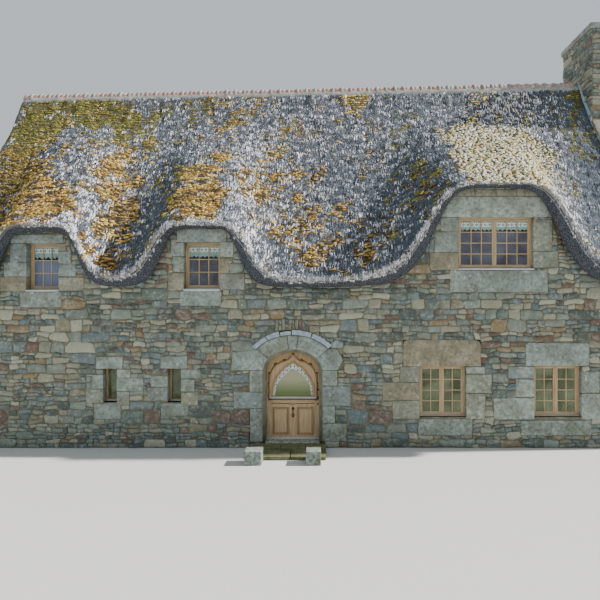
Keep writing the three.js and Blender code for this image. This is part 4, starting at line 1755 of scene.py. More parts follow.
@dataclass
class DoorSurround:
    """The door's arch of granite with its springers, jamb stones, hood and steps."""

    granite: bpy.types.Material
    slate: bpy.types.Material
    mortar: bpy.types.Material
    moss: bpy.types.Material
    pale: bpy.types.Material
    x: float = -0.65
    half: float = 0.606
    spring: float = 1.69
    rise: float = 0.455
    chamfer: float = 0.09
    front: float = -3.52
    back: float = -3.252
    foot: float = 1.744
    extrados: Flat = (1.01, 0.787)
    work: Dressing = Dressing(0.01, 0.004, 0.14)
    left: tuple[Point, ...] = ((0.27, 1.262, 1.738), (0.63, 0.885, 1.252), (0.26, 0.14, 0.875))
    right: tuple[Point, ...] = (
        (0.31, 1.4, 1.738), (0.61, 0.945, 1.385), (0.26, 0.555, 0.935), (0.52, 0.15, 0.545),
    )
    keystone: Flat = (0.462, 0.54)
    springing: Flat = (0.205, 0.795)

    def intrados(self, share: float, widen: float) -> Flat:
        """A point of the opening's arch, a share of the half turn from the left."""
        angle = math.pi * share
        half, rise = self.half + widen, self.rise + widen
        return (self.x - half * math.cos(angle), self.spring + rise * math.sin(angle))

    def outside(self, share: float, more: float = 0.0) -> Flat:
        """A point of the arch stones' outer curve."""
        angle = math.pi * share
        half, rise = self.extrados[0] + more, self.extrados[1] + more
        return (self.x - half * math.cos(angle), self.foot + rise * math.sin(angle))

    def levels(self, outline: Callable[[float], list[Flat]]) -> list[list[Point]]:
        """The rings of a stone that is chamfered towards the opening."""
        depths = ((self.front, self.chamfer), (self.front + self.chamfer, 0.0), (self.back, 0.0))
        return [[(a, depth, b) for a, b in outline(widen)] for depth, widen in depths]

    def voussoir(self, start: float, end: float, steps: int = 9) -> list[list[Point]]:
        """An arch stone between two shares of the half turn.

        Args:
            start: the share of the half turn at which it begins.
            end: the share at which it ends.
            steps: how many straight parts its curves have.

        Returns:
            The stone's outlines, from its front to its back.
        """

        def outline(widen: float) -> list[Flat]:
            """The stone's corners where the opening is this much wider."""
            shares = [blend(start, end, i / steps) for i in range(steps + 1)]
            inner = [self.intrados(share, widen) for share in shares]
            return inner[::-1] + [self.outside(share) for share in shares]

        return self.levels(outline)

    def springer(self, sign: int) -> list[list[Point]]:
        """The big stone on which one end of the arch stands.

        Args:
            sign: -1 for the left one and 1 for the right one.

        Returns:
            The stone's outlines, from its front to its back.
        """
        end = self.springing[0] if sign < 0 else self.springing[1]
        start = 0.0 if sign < 0 else 1.0
        low, high = self.foot + 0.004, 2.16 if sign < 0 else 2.235
        far = self.x - 1.38 if sign < 0 else self.x + 1.137

        def outline(widen: float) -> list[Flat]:
            """The stone's corners where the opening is this much wider."""
            edge = self.x + sign * (self.half + widen)
            inner = [self.intrados(blend(start, end, i / 5), widen) for i in range(6)]
            shoulder = self.outside(end)
            if sign < 0:
                head = [(far + 0.45, high + 0.02), (far + 0.03, high)]
                return [(far, low), (edge, low), *inner[1:], shoulder, *head]
            side = [(far - 0.12, low), (far, 1.99), (far - 0.16, high)]
            return [(edge, low), *side, (shoulder[0] + 0.12, high), shoulder, *inner[::-1][:-1]]

        return self.levels(outline)

    def jamb(self, sign: int, reach: float, low: float, high: float) -> list[list[Point]]:
        """A jamb stone beside the opening.

        Args:
            sign: -1 for the left side and 1 for the right side.
            reach: how far it goes out from the opening.
            low: the height of its bed.
            high: the height of its top.

        Returns:
            The stone's outlines, from its front to its back.
        """

        def outline(widen: float) -> list[Flat]:
            """The stone's corners where the opening is this much wider."""
            edge = self.x + sign * (self.half + widen)
            far = self.x + sign * (self.half + self.chamfer + reach)
            corners = [(edge, low), (far, low), (far, high), (edge, high)]
            return corners if sign > 0 else corners[::-1]

        return self.levels(outline)

    def hood(self, start: float, end: float, more: float, proud: float) -> list[list[Point]]:
        """One slab of the hood over the arch.

        Args:
            start: the share of the half turn at which it begins.
            end: the share at which it ends.
            more: how much further out it reaches than the usual slab.
            proud: how far it stands out of the wall.

        Returns:
            The slab's two outlines, front and back.
        """
        shares = [blend(start, end, i / 5) for i in range(6)]
        low = [self.outside(share, 0.014) for share in shares]
        high = [self.outside(share, 0.118 + more) for share in shares]
        outline = low[::-1] + high
        return [[(a, depth, b) for a, b in outline] for depth in (-HALF_DEPTH - proud, -3.36)]

    def holes(self) -> list[Patch]:
        """What the rubble leaves free for the surround.

        Returns:
            The outlines.
        """
        found = [Patch(self.x - self.half - 0.1, self.x + self.half + 0.1, 0.0, 2.2)]
        for sign, stones in ((-1, self.left), (1, self.right)):
            for reach, low, high in stones:
                far = self.half + self.chamfer + reach + 0.012
                ends = sorted((self.x + sign * self.half, self.x + sign * far))
                found.append(Patch(ends[0], ends[1], low - 0.01, high + 0.01))
        found.append(Patch(self.x - 1.395, self.x, self.foot - 0.01, 2.18))
        found.append(Patch(self.x, self.x + 1.15, self.foot - 0.01, 2.25))
        slices = 26
        for i in range(slices):
            start, middle, end = (blend(0.19, 0.8, (i + part) / slices) for part in (0, 0.5, 1))
            top = self.outside(middle, 0.135)[1]
            found.append(Patch(self.outside(start)[0], self.outside(end)[0], self.foot, top))
        return found

    def backing(self) -> Shape:
        """The mortar behind the stones, with the opening left free.

        Returns:
            The mortar's shape.
        """
        inner = [self.intrados(i / 24, 0.0) for i in range(25)]
        jamb = self.half + 0.384
        left, right = self.x - jamb, self.x + jamb
        outline = [(left, 0.0), (self.x - self.half, 0.0), *inner, (self.x + self.half, 0.0), (right, 0.0)]
        outline += [(right, self.foot), (self.x + 1.25, self.foot), (self.x + 1.25, 2.12)]
        outline += [self.outside(blend(0.9, 0.1, i / 20)) for i in range(4, 17)]
        outline += [(self.x - 1.25, 2.12), (self.x - 1.25, self.foot), (left, self.foot)]
        return shape_of(slab(outline, (-3.499, -3.251), upright_wall))

    def build(self) -> None:
        """Builds the surround in place of the CAD's jambs, arch and hood."""
        rng = random.Random(8)
        finishes = [self.granite, self.slate, self.mortar, self.pale]
        gather = Gather("door_surround", finishes, smooth=True)
        gather.add(self.backing(), 2)
        gap, back = 0.004, self.back - 0.01
        (first, second), (left, right) = self.keystone, self.springing
        rings = [self.voussoir(left + gap, first - gap), self.voussoir(first, second)]
        rings += [self.voussoir(second + gap, right - gap), self.springer(-1), self.springer(1)]
        for ring_set in rings:
            gather.add(self.work.loft(ring_set, rng.random() * 9, back), 0, rng.uniform(0.2, 0.5))
        for sign, stones in ((-1, self.left), (1, self.right)):
            for reach, low, high in stones:
                tint = rng.choice((0.3, 0.4, 0.98))
                shape = self.work.loft(self.jamb(sign, reach, low, high), rng.random() * 9, back)
                gather.add(shape, 0, tint)
        ends = (0.199, 0.319, 0.414, 0.492, 0.63, 0.79)
        thin = Dressing(0.007, 0.006, 0.12)
        for start, end in zip(ends, ends[1:]):
            more, proud = rng.uniform(-0.02, 0.012), rng.uniform(0.045, 0.062)
            shape = thin.loft(self.hood(start + 0.003, end - 0.003, more, proud), rng.random() * 9, back)
            gather.add(shape, 1, rng.random())
        lump = [(0.21, 2.25), (0.36, 2.24), (0.5, 2.27), (0.48, 2.38), (0.34, 2.43), (0.22, 2.37)]
        gather.add(Dressing(0.02, 0.014, 0.1).stone(lump, (-3.548, -3.4), 4.0), 0, 0.98)
        strip = box_shape((self.x - 0.6, -3.302, 0.1502), (self.x + 0.6, -3.252, 0.174), 0.004)
        gather.add(strip, 3)
        gather.build(replaces=["door_jamb_left", "door_jamb_right", "door_arch", "door_hood_mould"])

    def steps(self) -> None:
        """Builds the two mossy steps and the pair of blocks before them."""
        rng = random.Random(18)
        gather = Gather("doorsteps", [self.moss, self.granite], smooth=True)
        work = Dressing(0.016, 0.007, 0.12)
        lower = (((-1.4, -0.66), (-0.65, 0.1)), 0.08, (-4.48, -3.93), 0.003, 0, 0.4)
        upper = (((-1.4, -0.9), (-0.89, -0.35), (-0.34, 0.1)), 0.118, (-3.93, -3.562), 0.003, 0, 0.6)
        blocks = (((-1.57, -1.21), (-0.322, -0.01)), 0.285, (-4.85, -4.481), 0.004, 1, 0.3)
        for stones, high, span, ease, finish, tint in (lower, upper, blocks):
            for start, end in stones:
                outline = Patch(start, end, 0.0, high).outline(rng, ease)
                gather.add(work.stone(outline, span, rng.random() * 9), finish, tint)
        gather.build(replaces=["doorstep", "step_block_left", "step_block_right"])


@dataclass(frozen=True)
class Zone:
    """A patch of the roof's growth: centre and size along the ridge and down the slope."""

    x: float
    down: float
    wide: float
    tall: float
    share: float

    def at(self, x: float, down: float) -> float:
        """How strong the growth is at a place.

        Args:
            x: the place along the ridge.
            down: the share of the slope from the ridge to the eave.

        Returns:
            The strength, 0 where nothing grows.
        """
        away = math.hypot((x - self.x) / self.wide, (down - self.down) / self.tall)
        away += 0.6 * noise.noise(Vector((x * 0.9, down * 5.0, self.x)))
        away += 0.35 * noise.noise(Vector((x * 3.1, down * 16.0, self.x)))
        return self.share * smooth(1.15, 0.6, away)


@dataclass
class ThatchSlope:
    """One slope of thatch, with its rounded eave and verge, its tufts and its moss."""

    name: str
    side: int
    columns: int
    rows: int
    finish: bpy.types.Material
    straw: bpy.types.Material
    moss: bpy.types.Material
    mossy: tuple[Zone, ...]
    lemon: tuple[Zone, ...]
    tufts: int
    cushions: int
    verge: float = 0.14
    verge_steps: int = 6
    crest: float = 0.22
    lip: float = 0.05
    # shade, dark_lean and pale_lean set the strength of the painted shadow of the chimney, of the painted
    # shade on left-leaning faces and of the painted sunlight on right-leaning ones.
    shade: float = 0.0
    scaly: float = 0.4
    dark_lean: float = 0.42
    pale_lean: float = 0.5
    seed: int = 31

    def down(self, out: float) -> float:
        """How far a place is down the slope, as a share from the ridge to the eave."""
        return out / ROOF.outer[0]

    def painted_chimney_shadow(self, x: float, out: float) -> float:
        """How far a place lies in the painted shadow of the chimney beyond the big window, whose border leans
        to the right.
        """
        border = 5.3 + 1.3 * (1 - self.down(out))
        return smooth(border, border + 0.8, x)

    def light(self, x: float, out: float, lean: float) -> float:
        """The painted light and shade on the reed: painted sunlight where the slope leans to the right,
        painted shade where it leans left, painted shadow of the chimney beyond the big window, and painted
        light under the chimney's shade.

        Args:
            x: the place along the ridge.
            out: its distance from the ridge's plane.
            lean: how far the slope's face leans to the right.

        Returns:
            The share, below 0 where shade is painted on the reed.
        """
        # crest paints light into the chimney's shade near the ridge, own paints sunlight or shade by the
        # face's lean, and the chimney's painted shadow is taken off.
        crest = 1.8 * self.shade * smooth(4.0, 4.6, x) * smooth(6.4, 5.6, x)
        crest *= smooth(0.34, 0.22, self.down(out))
        own = lean * (self.dark_lean if lean < 0 else self.pale_lean)
        return own - self.shade * self.painted_chimney_shadow(x, out) + crest

    def growth(self, zones: Sequence[Zone], x: float, down: float) -> float:
        """How thick the growth of some zones is at a place, in clumps with bare reed between them.

        Args:
            zones: the zones of one kind of growth.
            x: the place along the ridge.
            down: the share of the slope from the ridge to the eave.

        Returns:
            The growth, from 0 to 1.
        """
        share = max((zone.at(x, down) for zone in zones), default=0.0)
        if share < 0.02:
            return 0.0
        steps = ((2.3, 13.0, 0.75), (6.0, 40.0, 0.55), (15.0, 95.0, 0.7))
        clump = sum(reach * noise.noise(Vector((x * wide, down * tall, wide))) for wide, tall, reach in steps)
        return smooth(-0.2, 0.5, clump + share - 0.55)

    def section(self, x: np.ndarray, inset: np.ndarray) -> np.ndarray:
        """The outline of every column, from the ridge down over the eave and back up inside.

        Args:
            x: places along the ridge.
            inset: how far each column's outline shrinks, for the rounded verge.

        Returns:
            Columns by points by three coordinates.
        """
        x, inset = x[:, None], inset[:, None]
        shares = np.linspace(0.0, 1.0, self.rows) ** 0.97
        out = 0.0004 + (ROOF.outer[0] - self.lip - 0.0004) * shares[None, :]
        swell = np.clip(1 - np.abs(out - 0.2) / 0.75, 0, 1) ** 1.5
        top = ROOF.top(self.side, x, out) - inset + self.crest * swell
        out = np.broadcast_to(out, top.shape)
        last = (out[:, -1:], top[:, -1:])
        lip = (ROOF.outer[0] + 0 * x, ROOF.top(self.side, x, ROOF.outer[0]) - inset)
        inner = (ROOF.inner[0] + 0 * x, ROOF.under(self.side, x, ROOF.inner[0]) + inset * 0.3)
        cut = tuple(lip[i] * 0.62 + inner[i] * 0.38 for i in range(2))
        bend = np.linspace(0.0, 1.0, 7)[None, 1:]
        ends = zip(last, lip, cut)
        curve = [a * (1 - bend) ** 2 + 2 * b * bend * (1 - bend) + c * bend**2 for a, b, c in ends]
        face = np.linspace(0.0, 1.0, 5)[None, 1:]
        cut_face = [cut[i] * (1 - face) + inner[i] * face for i in range(2)]
        inside = np.linspace(1.0, 0.0, 12)[None, 1:]
        under_out = ROOF.inner[0] * inside + 0.0004 * (1 - inside)
        under = ROOF.under(self.side, x, under_out) + inset * 0.3
        outs = np.concatenate([out, curve[0], cut_face[0], np.broadcast_to(under_out, under.shape)], axis=1)
        heights = np.concatenate([top, curve[1], cut_face[1], under], axis=1)
        return np.stack([np.broadcast_to(x, outs.shape), self.side * outs, heights], axis=2)

    def ruffle(self, points: np.ndarray, outward: np.ndarray, lip: int) -> None:
        """Makes the skin uneven: long streaks down the slope and soft hollows.

        Args:
            points: columns by points by three, changed in place.
            outward: the skin's outward direction at each point.
            lip: how many points of a column belong to the top.
        """
        for i in range(points.shape[0]):
            for j in range(1, points.shape[1] - 12):
                x = points[i, j, 0]
                level = min(j, lip) / lip * 6.0
                lump = noise.noise(Vector((x * 1.1, level * 0.8, self.seed)))
                clump = noise.noise(Vector((x * 5.5, level * 2.4, self.seed + 3)))
                streak = noise.noise(Vector((x * 19.0, level * 2.2, self.seed + 5)))
                fleck = noise.noise(Vector((x * 13.0, level * 9.0, self.seed + 8)))
                swell = 0.03 * lump + 0.028 * clump + 0.014 * streak + 0.013 * fleck
                points[i, j] += outward[i, j] * swell * min(1.0, j / 6)

    def build(self) -> bpy.types.Object:
        """Builds the slope's skin in place of the CAD's.

        Returns:
            The piece.
        """
        turn = np.linspace(0.0, math.pi / 2, self.verge_steps + 1)
        inset = self.verge * (1 - np.sin(turn)) * 0.9
        start = ROOF.left + self.verge
        edge = start - self.verge * np.cos(turn)
        middle = np.linspace(start, ROOF.right, self.columns)[1:]
        x = np.concatenate([edge, middle])
        insets = np.concatenate([inset, np.zeros(len(middle))])
        points = self.section(x, insets)
        count, ring_size = points.shape[:2]
        ahead = np.gradient(points, axis=0)
        around = np.gradient(points, axis=1)
        outward = np.cross(ahead, around) * self.side * -1
        outward /= np.maximum(np.linalg.norm(outward, axis=2, keepdims=True), 1e-9)
        outward[outward[:, : self.rows, 2].mean(axis=1) < 0] *= -1
        self.ruffle(points, outward, self.rows + 6)
        points[:, :, 0] = np.clip(points[:, :, 0], ROOF.left, ROOF.right)
        points[:, :, 1] = np.clip(points[:, :, 1], -3.99, 3.95)
        faces = []
        for i in range(count - 1):
            for j in range(ring_size):
                following = (j + 1) % ring_size
                a, b = i * ring_size + j, i * ring_size + following
                quad = (a, b, b + ring_size, a + ring_size)
                faces.append(quad if self.side < 0 else quad[::-1])
        caps = [tuple(range(ring_size)), tuple(range((count - 1) * ring_size, count * ring_size))[::-1]]
        faces += [cap[::-1] if self.side < 0 else cap for cap in caps]
        mesh = bpy.data.meshes.new(self.name)
        mesh.from_pydata(points.reshape(-1, 3).tolist(), [], faces)
        mesh.materials.append(self.finish)
        self.dress(mesh, points, outward)
        mesh.shade_smooth()
        piece = place(self.name + "_skin", mesh)
        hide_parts(self.name)
        self.scatter(points, outward)
        return piece

    def dress(self, mesh: bpy.types.Mesh, points: np.ndarray, outward: np.ndarray) -> None:
        """Stores the thatch's flow, its cut edge, its painted light and shade and its growth on the skin's
        points.

        Args:
            mesh: the skin's mesh.
            points: the skin's points, by column and row.
            outward: the skin's outward direction at each point.
        """
        steps = np.linalg.norm(np.diff(points, axis=1, prepend=points[:, :1]), axis=2)
        length = np.cumsum(steps, axis=1)
        side = np.full_like(length, float(self.side))
        flow = np.stack([points[:, :, 0], length, side], axis=2).astype(np.float32)
        mesh.attributes.new("flow", "FLOAT_VECTOR", "POINT").data.foreach_set("vector", flow.ravel())
        edge = np.zeros(length.shape, dtype=np.float32)
        edge[:, self.rows : self.rows + 4] = 0.45
        edge[:, self.rows + 5 :] = 1.0
        mesh.attributes.new("edge", "FLOAT", "POINT").data.foreach_set("value", edge.ravel())
        # Painted sunlight and shade for each point, from the face's lean and the chimney's painted shadow.
        places = zip(points[:, :, 0].ravel(), np.abs(points[:, :, 1]).ravel(), outward[:, :, 0].ravel())
        bleach = [self.light(x, out, lean) for x, out, lean in places]
        mesh.attributes.new("bleach", "FLOAT", "POINT").data.foreach_set("value", bleach)
        for name, zones in (("moss", self.mossy), ("lemon", self.lemon)):
            values = np.zeros(length.shape, dtype=np.float32)
            for i in range(length.shape[0]):
                for j in range(self.rows + 3):
                    values[i, j] = self.growth(zones, points[i, j, 0], self.down(abs(points[i, j, 1])))
            mesh.attributes.new(name, "FLOAT", "POINT").data.foreach_set("value", values.ravel())

    def scatter(self, points: np.ndarray, outward: np.ndarray) -> None:
        """Sets tufts of reed on the skin and cushions of moss in level ledges.

        Args:
            points: the skin's points, by column and row.
            outward: the skin's outward direction at each point.
        """
        rng = random.Random(self.seed)
        shapes = [tuft(rng) for _ in range(6)]
        tufts = Scatter(self.name + "_tufts", shapes, self.straw, smooth=False)
        shapes = [cushion(rng) for _ in range(6)]
        moss = Scatter(self.name + "_moss", shapes, self.moss, (0.03, 0.03, 0.03), 18.0)
        columns = points.shape[0] - self.verge_steps - 2
        while len(tufts.spots) < self.tufts:
            i = self.verge_steps + rng.randrange(columns)
            rim = rng.random() < 0.14
            j = rng.randrange(self.rows - 1, self.rows + 6) if rim else rng.randrange(3, self.rows)
            x, y, _ = points[i, j]
            if rng.random() < 0.92 * self.growth(self.mossy + self.lemon, x, self.down(abs(y))):
                continue
            spot = self.spot(points, outward, i, j, rng, rng.uniform(0.075, 0.145) * (0.65 if rim else 1.0))
            # Tufts on the eave's lip are paler, a painted highlight along the edge.
            spot.tint = min(1.0, spot.tint + (0.25 if rim else 0.0))
            tufts.spots.append(spot)
        tries = 0
        taken: set[Flat] = set()
        while len(moss.spots) < self.cushions and tries < 80 * self.cushions:
            tries += 1
            i = self.verge_steps + rng.randrange(columns)
            j = rng.randrange(3, self.rows + 1)
            x, y, z = points[i, j]
            down = self.down(abs(y))
            lemon = self.growth(self.lemon, x, down) * smooth(-0.22, -0.04, outward[i, j, 0])
            gold = self.growth(self.mossy, x, down)
            ledge = noise.noise(Vector((x * 2.6, z * 13.0, 4.0))) * 0.5 + 0.5
            scale = ((i + j) // 2, j)
            if lemon > self.scaly and scale not in taken:
                taken.add(scale)
                if rng.random() > 0.55 + 0.4 * lemon:
                    continue
                spot = self.spot(points, outward, i, j, rng, 1.0, 0.15)
                spans = ((0.03, 0.06), (0.016, 0.026), (0.022, 0.04))
                spot.size = tuple(rng.uniform(*ends) for ends in spans)
                spot.tint = rng.choice((0.66, 0.8, 0.86, 0.92, 0.96, 1.0, 1.0, 1.0))
                moss.spots.append(spot)
            elif lemon < self.scaly and rng.random() < max(lemon, gold) * smooth(0.34, 0.6, ledge):
                size = rng.uniform(0.012, 0.03)
                spot = self.spot(points, outward, i, j, rng, size, 0.12)
                spot.size = tuple(size * rng.uniform(*ends) for ends in ((1.3, 2.8), (0.7, 1.1), (0.8, 1.4)))
                spot.tint = self.mossy_tint(x, down, rng)
                moss.spots.append(spot)
        tufts.build()
        moss.build()

    def mossy_tint(self, x: float, down: float, rng: random.Random) -> float:
        """The tint of one cushion: olive near the ridge and in patches, else brown to gold, darker at the far
        left as painted shade.

        Args:
            x: the place along the ridge.
            down: its share of the way down the slope.
            rng: the source of its irregularity.

        Returns:
            The tint, as the moss's finish reads it.
        """
        olive = (
            smooth(0.42, 0.2, down) * smooth(-2.5, -4.5, x), smooth(1.2, 1.8, x) * smooth(3.4, 2.8, x),
            smooth(5.2, 6.0, x), smooth(-4.5, -4.2, x) * smooth(-3.3, -3.6, x),
        )
        patch = noise.noise(Vector((x * 1.3, down * 8.0, 9.0))) * 0.35
        if down < 0.16 and abs(x - 0.8) < 0.8:
            return rng.uniform(0.5, 0.84)
        if rng.random() < max(olive) * 0.8 + 0.05:
            return rng.uniform(0.0, 0.12)
        # Beyond x -7 the tint falls, a painted shade on that end of the roof.
        return min(max(rng.gauss(0.5 + patch - 0.3 * smooth(-7.0, -7.8, x), 0.2), 0.16), 0.84)

    def spot(self, points: np.ndarray, outward: np.ndarray, i: int, j: int, rng: random.Random, size: float,
             swing: float = 0.13) -> Spot:
        """A place on the skin, turned so that local Z points outward and local -Y down the slope.

        Args:
            points: the skin's points.
            outward: its outward directions.
            i: the place's column.
            j: its row.
            rng: the source of its irregularity.
            size: its size on every axis.
            swing: how far it turns from the slope's line.

        Returns:
            The place, with the reed's tint.
        """
        here, below = Vector(points[i, j]), Vector(points[i, j + 1])
        out = Vector(outward[i, j]).normalized()
        down = (below - here).normalized()
        across = down.cross(out).normalized()
        along = out.cross(across)
        basis = Matrix((across, along, out)).transposed()
        turn = (basis @ Matrix.Rotation(rng.gauss(0.0, swing), 3, "Z")).to_euler()
        jitter = across * rng.uniform(-0.03, 0.03) + down * rng.uniform(-0.02, 0.02)
        # The tuft's tint carries painted sunlight and shade from light(), and varies less in the chimney's
        # painted shadow.
        middle = 0.48 + self.light(here.x, abs(here.y), out.x)
        tint = min(max(rng.gauss(middle, 0.36 - 0.13 * self.painted_chimney_shadow(here.x, abs(here.y))), 0.0), 1.0)
        at = tuple(here + jitter - out * 0.006)
        return Spot(at, tuple(turn), (size, size, size), tint, rng.randrange(6))


def tuft(rng: random.Random) -> Shape:
    """Five flat reeds, one unit long, that lie along -Y, roll to either side and lift at the tip.

    Args:
        rng: the source of the random draws.

    Returns:
        The tuft.
    """
    points: list[Point] = []
    for _ in range(5):
        x, lean, roll = rng.uniform(-0.4, 0.4), rng.gauss(0.0, 0.1), rng.uniform(-0.8, 0.8)
        start, end, rise = rng.uniform(0.25, 0.5), -rng.uniform(0.3, 0.55), rng.uniform(0.03, 0.16)
        wide = rng.uniform(0.045, 0.09)
        across, over = wide * math.cos(roll), wide * math.sin(roll)
        points += [(x - across, start, -over), (x + lean - across * 0.6, end, rise - over * 0.6)]
        points += [(x + lean + across * 0.6, end, rise + over * 0.6), (x + across, start, over)]
    return Shape(points, [tuple(range(i, i + 4)) for i in range(0, len(points), 4)])


def cushion(rng: random.Random) -> Shape:
    """A rough half ball of moss, one unit wide, that grows towards Z.

    Args:
        rng: the source of the random draws.

    Returns:
        The cushion.
    """
    points: list[Point] = []
    count = 5
    for radius, height in ((1.0, -0.1), (0.72, 0.62)):
        for i in range(count):
            angle = math.tau * (i + rng.uniform(-0.3, 0.3)) / count
            reach = radius * rng.uniform(0.75, 1.15)
            points.append((reach * math.cos(angle), reach * math.sin(angle), height * rng.uniform(0.8, 1.2)))
    points.append((0.0, 0.0, rng.uniform(0.85, 1.1)))
    faces: list[tuple[int, ...]] = []
    for i in range(count):
        following = (i + 1) % count
        faces += [(i, following, count + following), (i, count + following, count + i)]
        faces.append((count + i, count + following, 2 * count))
    return Shape(points, faces)


@dataclass
class RidgeLine:
    """The clay ridge tiles with mortar fins between them, and the lead and mortar at the chimney."""

    clay: bpy.types.Material
    mortar: bpy.types.Material
    lead: bpy.types.Material
    pitch: float = 0.254
    fin: float = 0.07
    tile_profile: tuple[Flat, ...] = (
        (-0.158, 0.0), (-0.15, 0.06), (-0.118, 0.12), (-0.068, 0.168), (0.0, 0.188),
        (0.068, 0.168), (0.118, 0.12), (0.15, 0.06), (0.158, 0.0),
    )
    bed_profile: tuple[Flat, ...] = (
        (-0.205, -0.215), (-0.2, -0.06), (-0.186, 0.02), (-0.15, 0.052), (-0.1, 0.07), (-0.05, 0.12),
        (0.0, 0.13), (0.05, 0.12), (0.1, 0.07), (0.15, 0.052), (0.186, 0.02), (0.2, -0.06), (0.205, -0.215),
    )

    def arch(self, wide: float, lift: float, thick: float) -> Shape:
        """A shell over the ridge, as wide along X as given, with its base at the ridge's line.

        Args:
            wide: its width along X.
            lift: the share by which its outside is larger than a tile's profile.
            thick: how much smaller its inside is than the profile.

        Returns:
            The shell.
        """
        outer = [(y * (1 + lift), z * (1 + lift)) for y, z in self.tile_profile]
        inner = [(y * (1 - thick), z - thick) for y, z in self.tile_profile]
        outline = outer[::-1] + inner
        return shape_of(slab(outline, (-wide / 2, wide / 2), cross_wall))

    def bed(self) -> None:
        """Builds the uneven mortar bed in place of the capping."""
        bays = 190
        profile = self.bed_profile
        points: list[Point] = []
        for i in range(bays + 1):
            x = blend(ROOF.left + 0.07, ROOF.right, i / bays)
            for y, z in profile:
                base = Vector((x, y, ROOF.ridge + ROOF.slant * x + z))
                lump = noise.noise(Vector((x * 5.0, y * 9.0, z * 9.0 + 2.0))) * 0.016
                spread = 1.0 + lump / 0.2
                points.append((base.x, base.y * spread, base.z + lump * 0.4))
        size = len(profile)
        faces: list[tuple[int, ...]] = []
        for i in range(bays):
            for j in range(size):
                a, b = i * size + j, i * size + (j + 1) % size
                faces.append((a, a + size, b + size, b))
        faces += [tuple(range(size)), tuple(range(bays * size, (bays + 1) * size))[::-1]]
        gather = Gather("ridge_mortar", [self.mortar], smooth=True)
        gather.add(Shape(points, faces))
        gather.build(replaces=["ridge_capping"])

    def build(self) -> None:
        """Builds the bed, the tiles and the chimney's flashing."""
        self.bed()
        rng = random.Random(41)
        shapes = [self.arch(self.pitch - self.fin * 0.6, lift, 0.014) for lift in (0.02, 0.0)]
        fins = [self.arch(self.fin, 0.14, 0.01), self.arch(self.fin * 1.15, 0.17, 0.01)]
        tiles = Scatter("ridge_tiles", shapes, self.clay, (0.006, 0.006, 0.006), 7.0)
        joints = Scatter("ridge_fins", fins, self.mortar, (0.02, 0.02, 0.02), 16.0)
        x = ROOF.left + 0.14
        while x < ROOF.right - 0.1:
            z = ROOF.ridge + ROOF.slant * x
            turn = (rng.uniform(-0.02, 0.02), rng.uniform(-0.015, 0.015), rng.uniform(-0.02, 0.02))
            size = (1.0, rng.uniform(0.97, 1.03), rng.uniform(0.98, 1.03))
            tiles.spots.append(Spot((x, 0.0, z), turn, size, rng.random(), rng.randrange(2)))
            gap = x + self.pitch / 2
            if gap < ROOF.right - 0.05:
                joints.spots.append(Spot((gap, 0.0, z), turn, size, 0.5, rng.randrange(2)))
            x += self.pitch
        tiles.build()
        joints.build()
        self.flashing()

    def flashing(self) -> None:
        """Builds the lead strips where the thatch and ridge meet the gable."""
        gather = Gather("gable_flashing", [self.lead, self.mortar])
        for side in (-1, 1):
            for start, end in ((0.12, 0.5), (0.5, CHIMNEY_HALF), (CHIMNEY_HALF, 2.2), (2.2, 3.55)):
                low = []
                for out in (start, end):
                    swell = 0.22 * max(0.0, 1 - abs(out - 0.2) / 0.75) ** 1.5
                    low.append(float(ROOF.top(side, GABLE_FACE, out)) + swell)
                high = 0.17 if start < CHIMNEY_HALF else 0.055
                outline = [(start, low[0]), (end, low[1]), (end, low[1] + high), (start, low[0] + high)]
                outline = [(side * a, b) for a, b in outline]
                gather.add(shape_of(slab(outline, (GABLE_FACE - 0.03, GABLE_FACE + 0.002), cross_wall)))
        gather.build()


